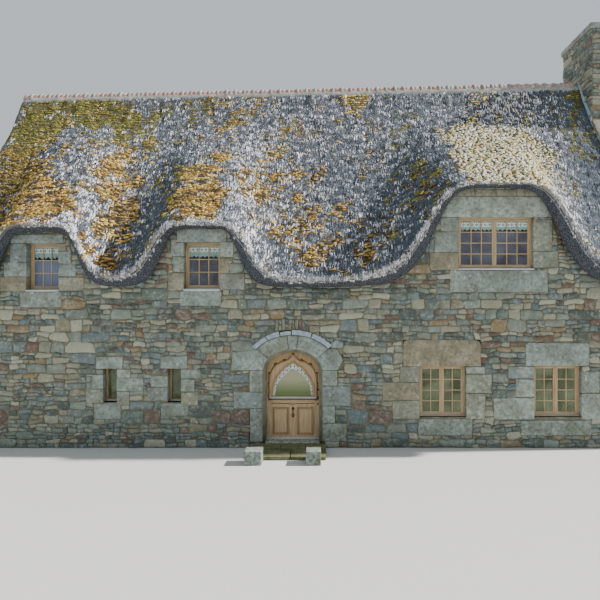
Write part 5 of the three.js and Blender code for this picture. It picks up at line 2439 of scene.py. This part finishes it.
@dataclass
class Joinery:
    """Oak windows: casements with mouldings and glazing bars, glass and the lace behind the upper panes."""

    upright: bpy.types.Material
    level: bpy.types.Material
    clear: bpy.types.Material
    sky: bpy.types.Material
    green: bpy.types.Material
    dim: bpy.types.Material
    lace: bpy.types.Material
    drip: bpy.types.Material
    iron: bpy.types.Material
    bar: float = 0.022
    frame: float = 0.036
    stile: float = 0.052
    thick: float = 0.05
    lap: float = 0.038
    slit_share: float = 0.45
    scallop: float = 0.1
    notch: float = 0.17
    fullness: float = 1.25

    def build(self) -> None:
        """Builds every window in place of the CAD's frames and glass."""
        for window in WINDOWS:
            self.window(window)

    def box(self, gather: Gather, lift: Lift, patch: Patch, depth: Flat,
            finish: int, arris: float = 0.004) -> None:
        """Adds a bevelled bar that fills a patch of the window's plane."""
        built = slab(patch.corners(), depth, lift)
        bmesh.ops.bevel(built, geom=list(built.edges), offset=arris, segments=1, affect="EDGES")
        gather.add(shape_of(built), finish)

    def surround(self, gather: Gather, lift: Lift, outer: Patch, wide: Point,
                 depth: Flat) -> Patch:
        """Adds four bars round a patch.

        Args:
            gather: the mesh they go into.
            lift: the window's plane.
            outer: the patch that they line.
            wide: the width of the sides, the bottom and the top.
            depth: their near and far faces.

        Returns:
            The patch that is left open.
        """
        side, bottom, top = wide
        inner = Patch(outer.left + side, outer.right - side, outer.low + bottom, outer.high - top)
        self.box(gather, lift, Patch(outer.left, inner.left, outer.low, outer.high), depth, 0)
        self.box(gather, lift, Patch(inner.right, outer.right, outer.low, outer.high), depth, 0)
        self.box(gather, lift, Patch(inner.left, inner.right, outer.low, inner.low), depth, 1)
        self.box(gather, lift, Patch(inner.left, inner.right, inner.high, outer.high), depth, 1)
        return inner

    def window(self, window: Window) -> None:
        """Builds one window.

        Args:
            window: the window's measures.
        """
        lift = wall_point(window.side, HALF_DEPTH)
        hole, back, lap = window.hole, window.recess, self.lap
        slit = "slit" in window.name
        slim = self.slit_share if slit else 1.0
        gather = Gather(f"joinery_{window.name}", [self.upright, self.level, self.drip, self.iron])
        outer = Patch(hole.left - lap, hole.right + lap, hole.low + 0.001, hole.high + lap)
        wide = (lap + self.frame * slim, self.frame * 0.9 * slim, lap + self.frame * 0.8 * slim)
        framed = self.surround(gather, lift, outer, wide, (back + 0.001, back + self.thick))
        drip = Patch(hole.left, hole.right, hole.low, hole.low + 0.016)
        self.box(gather, lift, drip, (back - 0.035, back + 0.004), 2, 0.003)
        foot = Patch(framed.left - 0.01, framed.right + 0.01, framed.low - 0.012, framed.low + 0.03)
        self.box(gather, lift, foot, (back - 0.022, back + 0.012), 1, 0.006)
        width = (framed.right - framed.left) / window.leaves
        panes = []
        for leaf in range(window.leaves):
            left = framed.left + width * leaf
            sash = Patch(left + 0.002, left + width - 0.002, framed.low + 0.002, framed.high - 0.002)
            sides = self.stile if window.leaves > 1 else self.stile * 0.7
            wide = (sides * slim, self.stile * 1.1 * slim, self.stile * 0.8 * slim)
            opened = self.surround(gather, lift, sash, wide, (back + 0.006, back + self.thick - 0.004))
            panes.append(opened)
            self.bars(gather, lift, opened, window.panes, back)
        if window.leaves > 1:
            middle = (framed.left + framed.right) / 2
            cover = Patch(middle - 0.02, middle + 0.02, framed.low, framed.high)
            self.box(gather, lift, cover, (back - 0.008, back + 0.01), 0, 0.006)
        gather.build(replaces=[] if slit else [f"window_frame_{window.name}"])
        self.glazing(window, lift, panes)
        if window.lace:
            self.curtains(window, lift, panes)

    def bars(self, gather: Gather, lift: Lift, opened: Patch,
             panes: tuple[int, int], back: float) -> None:
        """Adds the glazing bars of one casement.

        Args:
            gather: what the piece's shapes are gathered in.
            lift: what carries a point of the wall's plane, with its depth, into the shared frame.
            opened: the casement's opening.
            panes: how many panes it has across and up.
            back: the frame's depth in the wall.
        """
        depth = (back + 0.012, back + 0.034)
        for i in range(1, panes[0]):
            x = blend(opened.left, opened.right, i / panes[0])
            bar = Patch(x - self.bar / 2, x + self.bar / 2, opened.low, opened.high)
            self.box(gather, lift, bar, depth, 0)
        for i in range(1, panes[1]):
            z = blend(opened.low, opened.high, i / panes[1])
            bar = Patch(opened.left, opened.right, z - self.bar / 2, z + self.bar / 2)
            self.box(gather, lift, bar, (depth[0] + 0.001, depth[1] - 0.001), 1)

    def glazing(self, window: Window, lift: Lift, panes: Sequence[Patch]) -> None:
        """Builds one window's glass, a thin sheet in each casement.

        Args:
            window: the window's measures.
            lift: what carries a point of the wall's plane, with its depth, into the shared frame.
            panes: the casements' openings.
        """
        # The front glass colours are painted reflections; the rear's dim glass is painted shade for the room
        # behind.
        front = [self.clear, self.sky] if window.lace else [self.green]
        gather = Gather(f"glazing_{window.name}", front if window.side is Facing.FRONT else [self.dim])
        near = window.recess + 0.026
        for pane in panes:
            border = [pane.high - (pane.high - pane.low) / window.panes[1]] if window.lace else []
            parted = [pane.low - 0.01, *border, pane.high + 0.01]
            for low, high in zip(parted, parted[1:]):
                sheet = Patch(pane.left - 0.01, pane.right + 0.01, low, high)
                below = 1 if border and low < pane.low else 0
                gather.add(shape_of(slab(sheet.corners(), (near, near + 0.004), lift)), below)
        gather.build(replaces=[f"window_glass_{window.name}"])

    def curtains(self, window: Window, lift: Lift, panes: Sequence[Patch]) -> None:
        """Hangs a gathered strip of lace with a scalloped hem behind the top panes of one window.

        Args:
            window: the window's measures.
            lift: what carries a point of the wall's plane, with its depth, into the shared frame.
            panes: the casements' openings.
        """
        for number, pane in enumerate(panes):
            drop = (pane.high - pane.low) / window.panes[1]
            columns, rows = 60, 6
            points, faces, flow = [], [], []
            width, hang = pane.right - pane.left + 0.02, drop * 0.95
            for j in range(rows + 1):
                for i in range(columns + 1):
                    a = pane.left - 0.01 + width * i / columns
                    notch = self.notch * abs(math.cos(math.pi * (a - pane.left) / self.scallop))
                    below = hang * (1 - notch) * j / rows
                    fold = 0.007 * math.sin(i * 1.15) + 0.003 * math.sin(i * 2.7 + 1.0)
                    points.append(lift(a, pane.high + 0.012 - below, window.recess + 0.044 + fold * 0.8))
                    flow.append((a, below - 0.04, 0.0))
            for j in range(rows):
                for i in range(columns):
                    start = j * (columns + 1) + i
                    faces.append((start, start + columns + 1, start + columns + 2, start + 1))
            gather = Gather(f"lace_{window.name}_{number + 1}", [self.lace], smooth=True)
            gather.add(Shape(points, faces))
            cloth = gather.build()
            own = cloth.data.attributes.new("flow", "FLOAT_VECTOR", "POINT")
            own.data.foreach_set("vector", np.array(flow, dtype=np.float32).ravel())


@dataclass
class FrontDoor:
    """The arched oak door with its pointed glass, label, panels, mouldings and iron.

    Its places are given from the door's middle across and from the ground up.
    """

    upright: bpy.types.Material
    level: bpy.types.Material
    warm: bpy.types.Material
    carved: bpy.types.Material
    meadow_reflection: bpy.types.Material
    clear: bpy.types.Material
    iron: bpy.types.Material
    pale: bpy.types.Material
    lace: bpy.types.Material
    x: float = -0.65
    face: float = -3.244
    thick: float = 0.054
    half: float = 0.64
    bottom: float = 0.16
    spring: float = 1.69
    rise: float = 0.489
    layer: float = 0.02
    light: tuple[Flat, ...] = ((0.455, 1.26), (0.421, 1.4), (0.366, 1.523), (0.288, 1.646), (0.175, 1.769))
    light_foot: Flat = (0.46, 1.118)
    light_tip: float = 1.868
    parting: tuple[Flat, ...] = (
        (0.425, 1.112), (0.385, 1.343), (0.315, 1.47), (0.22, 1.58), (0.1, 1.68), (0.0, 1.73),
    )
    label: tuple[Flat, ...] = (
        (0.528, 1.08), (0.53, 1.3), (0.53, 1.5), (0.512, 1.61), (0.462, 1.725), (0.384, 1.82),
        (0.28, 1.88), (0.17, 1.915), (0.085, 1.96), (0.03, 2.02), (0.0, 2.062),
    )
    moulding: tuple[Flat, ...] = (
        (-0.5, 0.002), (-0.46, -0.55), (-0.2, -0.95), (0.1, -1.0), (0.3, -0.6), (0.5, -0.45), (0.5, 0.002),
    )
    cut: Flat = (0.22, 0.87)
    panels: tuple[Flat, ...] = ((-0.47, -0.098), (0.098, 0.472))
    panel_z: Flat = (0.232, 0.866)
    hinge: Flat = (-1.306, -3.191)
    hinge_z: Flat = (0.43, 1.5)

    def rim(self, inward: float = 0.0, steps: int = 28) -> list[Flat]:
        """The leaf's outline, drawn in by a distance.

        Args:
            inward: the distance.
            steps: how many straight parts the arch has.

        Returns:
            The outline.
        """
        half, rise = self.half - inward, self.rise - inward
        turns = [math.pi * i / steps for i in range(steps + 1)]
        arch = [(half * math.cos(turn), self.spring + rise * math.sin(turn)) for turn in turns]
        return [(-half, self.bottom + inward), (half, self.bottom + inward), *arch]

    def opening(self, grow: float) -> list[Flat]:
        """The glass's pointed outline, anticlockwise from its lower left corner.

        Args:
            grow: how far the outline is moved outwards.

        Returns:
            The outline.
        """
        wide, low = self.light_foot
        right = [(a + grow, b + grow * 0.35 * i / 5) for i, (a, b) in enumerate(self.light)]
        left = [(-a, b) for a, b in right[::-1]]
        foot = [(-wide - grow, low - grow), (wide + grow, low - grow)]
        return [*foot, *right, (0.0, self.light_tip + grow * 1.3), *left]

    def plate(self, gather: Gather, outer: Sequence[Flat], holes: Sequence[Sequence[Flat]], depth: Flat,
              finish: int) -> None:
        """Adds a board with holes through it.

        Args:
            gather: the mesh it goes into.
            outer: its outline.
            holes: the outlines of its holes.
            depth: its near and far faces, from the door's face inwards.
            finish: its material's number.
        """
        built = bmesh.new()
        loops = []
        for outline in (outer, *holes):
            pair = [[built.verts.new((self.x + a, self.face + d, b)) for a, b in outline] for d in depth]
            loops.append(pair)
            for i in range(len(outline)):
                following = (i + 1) % len(outline)
                built.faces.new((pair[0][following], pair[0][i], pair[1][i], pair[1][following]))
        for level in (0, 1):
            edges = []
            for pair in loops:
                loop = pair[level]
                edges += [built.edges.get((loop[i], loop[(i + 1) % len(loop)])) for i in range(len(loop))]
            bmesh.ops.triangle_fill(built, use_beauty=True, use_dissolve=False, edges=edges)
        bmesh.ops.recalc_face_normals(built, faces=built.faces)
        gather.add(shape_of(built), finish)

    def bead(self, gather: Gather, path: Sequence[Flat], wide: float, proud: float, finish: int,
             closed: bool = True) -> None:
        """Adds a rounded moulding that follows a path on the door's face.

        Args:
            gather: the mesh it goes into.
            path: the places that it passes.
            wide: its width.
            proud: how far it stands out.
            finish: its material's number.
            closed: whether it comes back to its start.
        """
        count = len(path)
        profile = self.moulding
        points: list[Point] = []
        for i, spot in enumerate(path):
            before = path[i - 1] if closed or i else spot
            after = path[(i + 1) % count] if closed or i < count - 1 else spot
            into, onward = Vector(spot) - Vector(before), Vector(after) - Vector(spot)
            ahead = (into.normalized() + onward.normalized()).normalized()
            out = Vector((ahead.y, -ahead.x))
            bend = out.dot(Vector((onward.y, -onward.x)).normalized()) if onward.length else 1.0
            stretch = 1 / max(bend, 0.5)
            for across, depth in profile:
                at = Vector(spot) + out * across * wide * stretch
                points.append((self.x + at.x, self.face + depth * proud, at.y))
        size = len(profile)
        faces: list[tuple[int, ...]] = []
        for i in range(count if closed else count - 1):
            here, then = i * size, ((i + 1) % count) * size
            for j in range(size):
                beside = (j + 1) % size
                faces.append((here + j, here + beside, then + beside, then + j))
        if not closed:
            faces += [tuple(range(size))[::-1], tuple(range((count - 1) * size, count * size))]
        gather.add(Shape(points, faces), finish)

    def block(self, gather: Gather, x: Flat, z: Flat, depth: Flat, finish: int, arris: float = 0.004) -> None:
        """Adds a bevelled block between two depths from the door's face, negative in front of it."""
        low = (self.x + x[0], self.face + depth[0], z[0])
        high = (self.x + x[1], self.face + depth[1], z[1])
        gather.add(box_shape(low, high, arris), finish)

    def lump(self, gather: Gather, centre: Flat, radii: Point, finish: int, seed: float = 0.0) -> None:
        """Adds a carved lump whose middle lies on the door's face.

        Args:
            gather: what the piece's shapes are gathered in.
            centre: its place on the door's face.
            radii: its half measures along the three axes.
            finish: its place in the list of finishes.
            seed: what makes its roughness its own.
        """
        built = bmesh.new()
        bmesh.ops.create_icosphere(built, subdivisions=2, radius=1.0)
        for vert in built.verts:
            vert.co *= 1.0 + 0.25 * noise.noise(vert.co * 2.2 + Vector((seed, 0.0, 0.0)))
            vert.co = Vector((self.x + centre[0] + vert.co.x * radii[0], self.face + vert.co.y * radii[1],
                              centre[1] + vert.co.z * radii[2]))
        gather.add(shape_of(built), finish)

    def boards(self) -> None:
        """Builds the leaf's three layers, its recessed panels and all mouldings."""
        gather = Gather("door_leaf", [self.upright, self.level, self.warm, self.carved, self.pale])
        panels = [Patch(left, right, *self.panel_z) for left, right in self.panels]
        recesses = [panel.corners() for panel in panels]
        opening = self.opening(0.0)
        self.plate(gather, self.rim(), [opening, *recesses], (0.0, self.layer), 0)
        self.plate(gather, self.rim(), [opening], (self.layer, self.thick - 0.012), 0)
        self.plate(gather, self.rim(), [opening, *recesses], (self.thick - 0.012, self.thick), 0)
        for panel in panels:
            self.bead(gather, panel.corners(), 0.026, 0.014, 2)
            # The thin inner bead in dark carved oak is a painted shadow line round the panel.
            self.bead(gather, panel.inset(0.018).corners(), 0.009, 0.006, 3)
            for inward, depth, arris in ((0.042, (0.006, 0.024), 0.012), (0.05, (0.04, 0.049), 0.003)):
                raised = panel.inset(inward)
                x, z = (raised.left, raised.right), (raised.low, raised.high)
                self.block(gather, x, z, depth, 0, arris)
        head = [(a, b) for a, b in self.rim(0.002) if b > 1.5]
        inner = [(a + 0.008, b + 0.006) for a, b in self.label[2:-1]]
        fill = [(inner[0][0], 1.5), (0.638, 1.5), *head, (-0.638, 1.5), (-inner[0][0], 1.5)]
        fill += [(-a, b) for a, b in inner] + [(0.0, 2.08)] + inner[::-1][:-1]
        self.plate(gather, fill, [], (-0.006, 0.0), 2)
        self.bead(gather, self.opening(0.012), 0.026, 0.016, 0)
        self.bead(gather, self.opening(0.042), 0.024, 0.024, 2)
        path = [(-a, b) for a, b in self.label] + list(self.label[::-1][1:])
        self.bead(gather, path[::-1], 0.036, 0.036, 0, closed=False)
        self.rail(gather)
        self.carving(gather)
        gather.build("front_door", ["front_door_leaf"])

    def rail(self, gather: Gather) -> None:
        """Adds the moulded rail under the glass, with its knobs and the drop in its middle.

        Args:
            gather: what the piece's shapes are gathered in.
        """
        # The second step and the knobs at the rail's ends take the dark carved oak as painted shadow under
        # the rail's pale top, and the dark ogee bead is a painted shadow line.
        steps = ((0.535, (1.074, 1.1), 0.056, 4, 0.006), (0.525, (1.04, 1.075), 0.042, 3, 0.01),
                 (0.5, (1.006, 1.042), 0.03, 1, 0.008), (0.46, (0.958, 1.008), 0.014, 1, 0.004))
        for half, z, proud, finish, arris in steps:
            self.block(gather, (-half, half), z, (-proud, 0.0), finish, arris)
        drop = [(-0.08, 0.959), (-0.03, 0.946), (0.0, 0.926), (0.03, 0.946), (0.08, 0.959)]
        self.plate(gather, drop, [], (-0.014, 0.0), 1)
        ogee = [(-0.5, 0.95), (-0.1, 0.95), (-0.045, 0.938), (0.0, 0.912)]
        ogee += [(-a, b) for a, b in ogee[-2::-1]]
        self.bead(gather, ogee[::-1], 0.012, 0.016, 3, closed=False)
        for side in (-1, 1):
            self.lump(gather, (side * 0.545, 1.05), (0.03, 0.05, 0.028), 3, side)

    def carving(self, gather: Gather) -> None:
        """Adds the leaves along the label, its finial and the studs of the head.

        Args:
            gather: what the piece's shapes are gathered in.
        """
        leaves = ((0.395, 1.862), (0.195, 1.95), (0.545, 1.655), (0.552, 1.43))
        reach = np.cumsum([0.0, *(math.dist(a, b) for a, b in zip(self.label, self.label[1:]))])
        for side in (-1, 1):
            vine = []
            axes = list(zip(*self.label))
            waves = 56
            for i in range(waves):
                spans = [reach[-1] * share for share in (i / (waves + 1), (i + 1) / (waves + 1))]
                here, then = (np.array([np.interp(at, reach, axis) for axis in axes]) for at in spans)
                ahead = Vector(then - here).normalized()
                away = 0.03 + 0.011 * math.sin(i * 0.62)
                vine.append((side * (here[0] + ahead.y * away), here[1] - ahead.x * away))
            self.bead(gather, vine[::side], 0.016, 0.022, 3, closed=False)
            for number, (a, b) in enumerate(leaves):
                size = 0.03 if number < 2 else 0.018
                self.lump(gather, (side * a, b), (size * 1.3, 0.04, size), 3, a * 9)
                beside = (side * (a + size * 0.9), b - size * 0.5)
                self.lump(gather, beside, (size * 0.8, 0.032, size * 0.7), 3, b * 7)
            self.lump(gather, (side * 0.23, 2.07), (0.014, 0.014, 0.014), 3)
        self.lump(gather, (0.0, 2.082), (0.042, 0.036, 0.026), 3, 3.0)
        self.lump(gather, (0.0, 2.115), (0.024, 0.03, 0.024), 3, 5.0)

    def ironwork(self) -> None:
        """Builds the knocker, the knob, the lock's plates, the straps and the barrels."""
        gather = Gather("door_iron", [self.iron], smooth=True)
        self.lump(gather, (0.0, 0.836), (0.03, 0.022, 0.036), 0, 2.0)
        front = self.face - 0.022
        gather.add(rod(Vector((self.x, front, 0.83)), Vector((self.x, front, 0.715)), 0.009))
        across, up = Vector((1.0, 0.0, 0.0)), Vector((0.0, 0.0, 1.0))
        gather.add(ring(Vector((self.x, front, 0.686)), (0.027, 0.009), across, up))
        self.lump(gather, (0.0, 0.648), (0.02, 0.03, 0.018), 0, 4.0)
        knob = Vector((self.x + 0.572, self.face, 1.267))
        gather.add(rod(knob, knob - Vector((0.0, 0.04, 0.0)), 0.009))
        self.lump(gather, (0.572, 1.267), (0.022, 0.008, 0.022), 0, 1.0)
        gather.add(rod(knob - Vector((0.0, 0.03, 0.0)), knob - Vector((0.0, 0.054, 0.0)), 0.02, 12))
        self.block(gather, (0.552, 0.588), (1.045, 1.11), (-0.005, 0.0), 0, 0.002)
        self.block(gather, (0.556, 0.586), (0.915, 0.96), (-0.005, 0.0), 0, 0.002)
        back = self.face + self.thick
        for z in self.hinge_z:
            low = (self.hinge[0] + 0.014, back, z + 0.012)
            gather.add(box_shape(low, (self.hinge[0] + 0.4, back + 0.004, z + 0.058), 0.001))
            gather.add(tube(self.hinge, (0.0088, 0.016), (z, z + 0.07)))
        gather.build("front_door", ["front_door_knocker", "front_door_handle"])

    def build(self) -> None:
        """Builds the door in place of the CAD's leaf, glass and iron."""
        self.boards()
        self.ironwork()
        gather = Gather("door_glass", [self.meadow_reflection, self.clear])
        parted = [*self.parting, *((-a, b) for a, b in self.parting[-2::-1])]
        self.plate(gather, self.opening(0.008), [parted], (0.026, 0.031), 1)
        self.plate(gather, parted, [], (0.026, 0.031), 0)
        gather.build("front_door", ["front_door_glass"])
        self.curtain(-1)
        self.curtain(1)

    @staticmethod
    def across(line: Sequence[Flat], z: float) -> float:
        """How far from the middle a rising line stands at a height."""
        return float(np.interp(z, [b for _, b in line], [a for a, _ in line]))

    def curtain(self, side: int) -> None:
        """Hangs one half of the parted lace behind the pointed glass, with its fringe.

        Args:
            side: -1 for the left half, 1 for the right.
        """
        rows, columns, fringe = 24, 12, 0.014
        outline = [self.light_foot, *self.light, (0.0, self.light_tip)]
        tall = self.light_tip - self.light_foot[1]
        points: list[Point] = []
        widths = []
        for j in range(rows + 1):
            z = self.light_foot[1] + tall * j / rows
            inner, outer = (self.across(line, z) for line in (self.parting, outline))
            outer = max(outer, inner + 0.01) + 0.006
            widths.append(outer - inner)
            hem = min(inner + fringe, outer - 0.002)
            for i in range(columns + 1):
                across = blend(hem, outer, (i - 1) / (columns - 1)) if i else inner
                ripple = 0.002 * math.sin(across * 60)
                points.append((self.x + side * across, self.face + 0.04 + ripple, z))
        width = columns + 1
        starts = [j * width + i for j in range(rows) for i in range(columns)]
        gather = Gather(f"door_lace_{'right' if side > 0 else 'left'}", [self.lace], smooth=True)
        gather.add(Shape(points, [(a, a + 1, a + width + 1, a + width)[::side] for a in starts]))
        for start in range(0, len(points), width):
            gather.tints[start] = gather.tints[start + 1] = 1.0
        area = sum((first + second) / 2 for first, second in zip(widths, widths[1:])) * tall / rows
        gather.build("front_door")


def tube(centre: Flat, radii: Flat, z: Flat, sides: int = 16) -> Shape:
    """An upright tube.

    Args:
        centre: its axis in plan.
        radii: its bore's and its outer radius.
        z: its bottom and top.
        sides: how many sides it has.

    Returns:
        The shape.
    """
    points: list[Point] = []
    for radius, height in ((radii[1], z[0]), (radii[1], z[1]), (radii[0], z[1]), (radii[0], z[0])):
        for i in range(sides):
            angle = math.tau * i / sides
            x, y = radius * math.cos(angle), radius * math.sin(angle)
            points.append((centre[0] + x, centre[1] + y, height))
    faces = []
    for level in range(4):
        for i in range(sides):
            following = (i + 1) % sides
            here, then = level * sides, ((level + 1) % 4) * sides
            faces.append((here + i, here + following, then + following, then + i))
    return Shape(points, faces)


@dataclass(frozen=True)
class Studio:
    """The pale floor, the soft light and the camera at the photograph's angle."""

    place: Point = (-0.03, -15.9, 3.33)
    lens: float = 33.0
    shift: float = -20 / 600
    sun: Point = (0.8, 0.05, 0.56)

    def build(self) -> None:
        """Sets up the studio."""
        scene = bpy.context.scene
        camera = bpy.data.cameras.new("camera")
        camera.lens = self.lens
        camera.sensor_width = 36.0
        camera.shift_x = self.shift
        camera.clip_end = 200.0
        viewer = bpy.data.objects.new("camera", camera)
        viewer.location = self.place
        viewer.rotation_euler = (math.pi / 2, 0.0, 0.0)
        scene.collection.objects.link(viewer)
        scene.camera = viewer
        self.light("key", self.sun, 10.0, 0.03, (1.0, 0.96, 0.92))
        self.light("fill", (-0.1, -0.9, 0.5), 0.22, 1.2, (0.88, 0.95, 1.0))
        world = bpy.data.worlds.new("studio")
        world.use_nodes = True
        backdrop = world.node_tree.nodes["Background"]
        backdrop.inputs["Color"].default_value = (0.84, 0.92, 1.0, 1.0)
        backdrop.inputs["Strength"].default_value = 0.72
        scene.world = world
        floor = bpy.data.meshes.new("studio_floor")
        reach = 60.0
        floor.from_pydata([(-reach, -reach, -0.002), (reach, -reach, -0.002), (reach, reach, -0.002),
                           (-reach, reach, -0.002)], [], [(0, 1, 2, 3)])
        pale = PlainFinish("studio_pale", tone(196, 196, 192), tone(200, 200, 196), 0.95)
        floor.materials.append(pale.material())
        ground = bpy.data.objects.new("studio_floor", floor)
        scene.collection.objects.link(ground)

    def light(self, name: str, towards: Point, power: float, spread: float, colour: Colour) -> None:
        """Adds a sun that shines from a direction.

        Args:
            name: the lamp's name.
            towards: the direction in which the sun stands.
            power: its strength.
            spread: the sun's width as an angle, in radians.
            colour: its colour.
        """
        lamp = bpy.data.lights.new(name, "SUN")
        lamp.energy = power
        lamp.angle = spread
        lamp.color = colour
        sun = bpy.data.objects.new(name, lamp)
        sun.rotation_euler = Vector(towards).to_track_quat("Z", "Y").to_euler()
        bpy.context.scene.collection.objects.link(sun)


@dataclass
class Finishes:
    """Every material of the house, made once."""

    rubble: bpy.types.Material = field(default_factory=lambda: RubbleFinish().material())
    granite: bpy.types.Material = field(default_factory=lambda: GraniteFinish().material())
    mortar: bpy.types.Material = field(default_factory=lambda: MortarFinish().material())
    thatch: bpy.types.Material = field(default_factory=lambda: ThatchFinish().material())
    straw: bpy.types.Material = field(default_factory=lambda: StrawFinish().material())
    moss: bpy.types.Material = field(default_factory=lambda: MossFinish().material())
    clay: bpy.types.Material = field(default_factory=lambda: ClayFinish().material())
    upright: bpy.types.Material = field(default_factory=lambda: OakFinish(Grain.UPRIGHT).material())
    level: bpy.types.Material = field(default_factory=lambda: OakFinish(Grain.LEVEL).material())
    lace: bpy.types.Material = field(default_factory=lambda: LaceFinish().material())


def main() -> None:
    """Builds the house from the ground up and sets up the studio."""
    logging.basicConfig(level=logging.INFO, format="%(message)s")
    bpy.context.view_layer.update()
    kit = Finishes()
    slate, steps, lead, iron, carved, drip, lime, boards = (plain.material() for plain in (
        PlainFinish("hood_slate", tone(126, 142, 156), tone(170, 182, 190), 0.85, 0.0, 12.0, 0.006),
        PlainFinish("mossy_step", tone(80, 86, 46), tone(122, 118, 92), 0.95, 0.0, 7.0, 0.01),
        PlainFinish("lead_flashing", tone(142, 176, 200), tone(176, 202, 220), 0.6, 0.0, 6.0, 0.002),
        PlainFinish("black_iron", tone(34, 33, 32), tone(58, 54, 50), 0.5, 0.7, 30.0, 0.001),
        # Dark oak for the carving, also used as painted shade for the door's thin shadow lines and its rail's
        # dark step.
        PlainFinish("carved_oak", tone(76, 52, 34), tone(118, 86, 56), 0.6, 0.0, 26.0, 0.002),
        PlainFinish("drip_strip", tone(176, 188, 192), tone(204, 210, 208), 0.7, 0.0, 14.0, 0.001),
        PlainFinish("lime_floor", tone(150, 146, 132), tone(172, 166, 150), 0.9, 0.0, 3.0, 0.004),
        PlainFinish("floor_boards", tone(120, 94, 62), tone(146, 116, 80), 0.7, 0.0, 8.0, 0.002),
    ))
    capping = MortarFinish("ridge_mortar", tone(136, 142, 138), tone(188, 190, 184)).material()

    surround = DoorSurround(kit.granite, slate, kit.mortar, steps, drip)
    stones = {Facing.FRONT: CORNERS_LONG + surround.holes(), Facing.REAR: list(CORNERS_LONG)}
    for window in WINDOWS:
        hole = window.hole
        gap = Patch(hole.left - 0.05, hole.right + 0.05, window.sill.high - 0.02, hole.low)
        stones[window.side] += [hole, window.lintel, window.sill, *window.jambs(), *window.course, gap]
    Masonry(kit.rubble).build(stones[Facing.FRONT], stones[Facing.REAR])
    stonework = Stonework(kit.granite, kit.mortar, drip)
    stonework.windows(Facing.FRONT)
    stonework.windows(Facing.REAR)
    stonework.quoins()
    stonework.copings()
    surround.build()
    surround.steps()
    mossy = (
        Zone(-6.6, 0.12, 2.1, 0.13, 1.15), Zone(-7.9, 0.5, 1.1, 0.5, 1.2), Zone(-6.6, 0.84, 0.85, 0.27, 1.35),
        Zone(-4.9, 0.7, 0.8, 0.4, 0.8), Zone(-3.95, 0.74, 0.4, 0.36, 0.4), Zone(-3.0, 0.2, 2.8, 0.2, 0.5),
        Zone(-5.2, 0.45, 2.6, 0.45, 0.45), Zone(-2.9, 0.76, 0.8, 0.3, 1.25),
        Zone(-1.1, 0.62, 1.0, 0.42, 0.62), Zone(0.4, 0.8, 1.7, 0.2, 0.6),
        Zone(2.3, 0.72, 0.6, 0.3, 0.5), Zone(0.8, 0.06, 0.7, 0.07, 0.6),
        Zone(1.2, 0.3, 1.4, 0.2, 0.2), Zone(7.0, 0.17, 0.8, 0.2, 0.5), Zone(5.9, 0.75, 0.7, 0.2, 0.15),
        Zone(5.1, 0.2, 1.2, 0.2, 0.42), Zone(6.8, 0.3, 0.7, 0.25, 0.45),
    )
    lemon = (Zone(4.6, 0.57, 1.4, 0.44, 1.5), Zone(4.3, 0.85, 1.3, 0.25, 1.4))
    rear_moss = (Zone(-5.5, 0.6, 2.4, 0.5, 0.8), Zone(0.0, 0.3, 2.0, 0.4, 0.6), Zone(4.8, 0.7, 2.2, 0.4, 0.9))
    reed = (kit.thatch, kit.straw, kit.moss)
    ThatchSlope("thatch_front", -1, 330, 96, *reed, mossy, lemon, 19500, 13200, shade=0.28).build()
    ThatchSlope("thatch_rear", 1, 210, 60, *reed, rear_moss, (), 7800, 3600, seed=47).build()
    RidgeLine(kit.clay, capping, lead).build()
    # Every glass colour is painted: reflections of sky, greenery and meadow on the front, and on the rear dim
    # glass painted shade for the dark rooms behind.
    clear = GlassFinish().material()
    meadow_reflection = GlassFinish("door_glass", 0.85, tone(92, 116, 54), tone(170, 168, 134), (1.2, 1.5)).material()
    green = GlassFinish("green_glass", 0.5, tone(72, 84, 46), tone(140, 152, 116)).material()
    dim = GlassFinish("dim_glass", 0.92, tone(46, 54, 58), tone(78, 88, 92)).material()
    sky = GlassFinish("sky_glass", 0.62, tone(72, 70, 76), tone(106, 112, 126), left=0.6).material()
    hung = LaceFinish("hung_lace", row=True).material()
    Joinery(kit.upright, kit.level, clear, sky, green, dim, hung, drip, iron).build()
    warm = OakFinish(Grain.UPRIGHT, "warm_oak", tone(128, 98, 62), tone(176, 142, 96), tone(196, 166, 122))
    FrontDoor(kit.upright, kit.level, warm.material(), carved, meadow_reflection, clear, iron, drip, kit.lace).build()

    walls = [name for name in frame["nodes"] if "wall" in name or name == "chimney_stack"]
    plain = {name: kit.mortar for name in walls}
    plain.update({"threshold": kit.granite, "ground_floor": lime, "upper_floor": boards})
    plain.update({"door_pintle_lower": iron, "door_pintle_upper": iron})
    for name, material in plain.items():
        dress_node(name, material)

    Studio().build()


def dress_node(name: str, material: bpy.types.Material) -> None:
    """Gives a CAD node one material."""
    mesh = frame["nodes"][name].data
    mesh.materials.clear()
    mesh.materials.append(material)


if __name__ == "__main__":
    main()
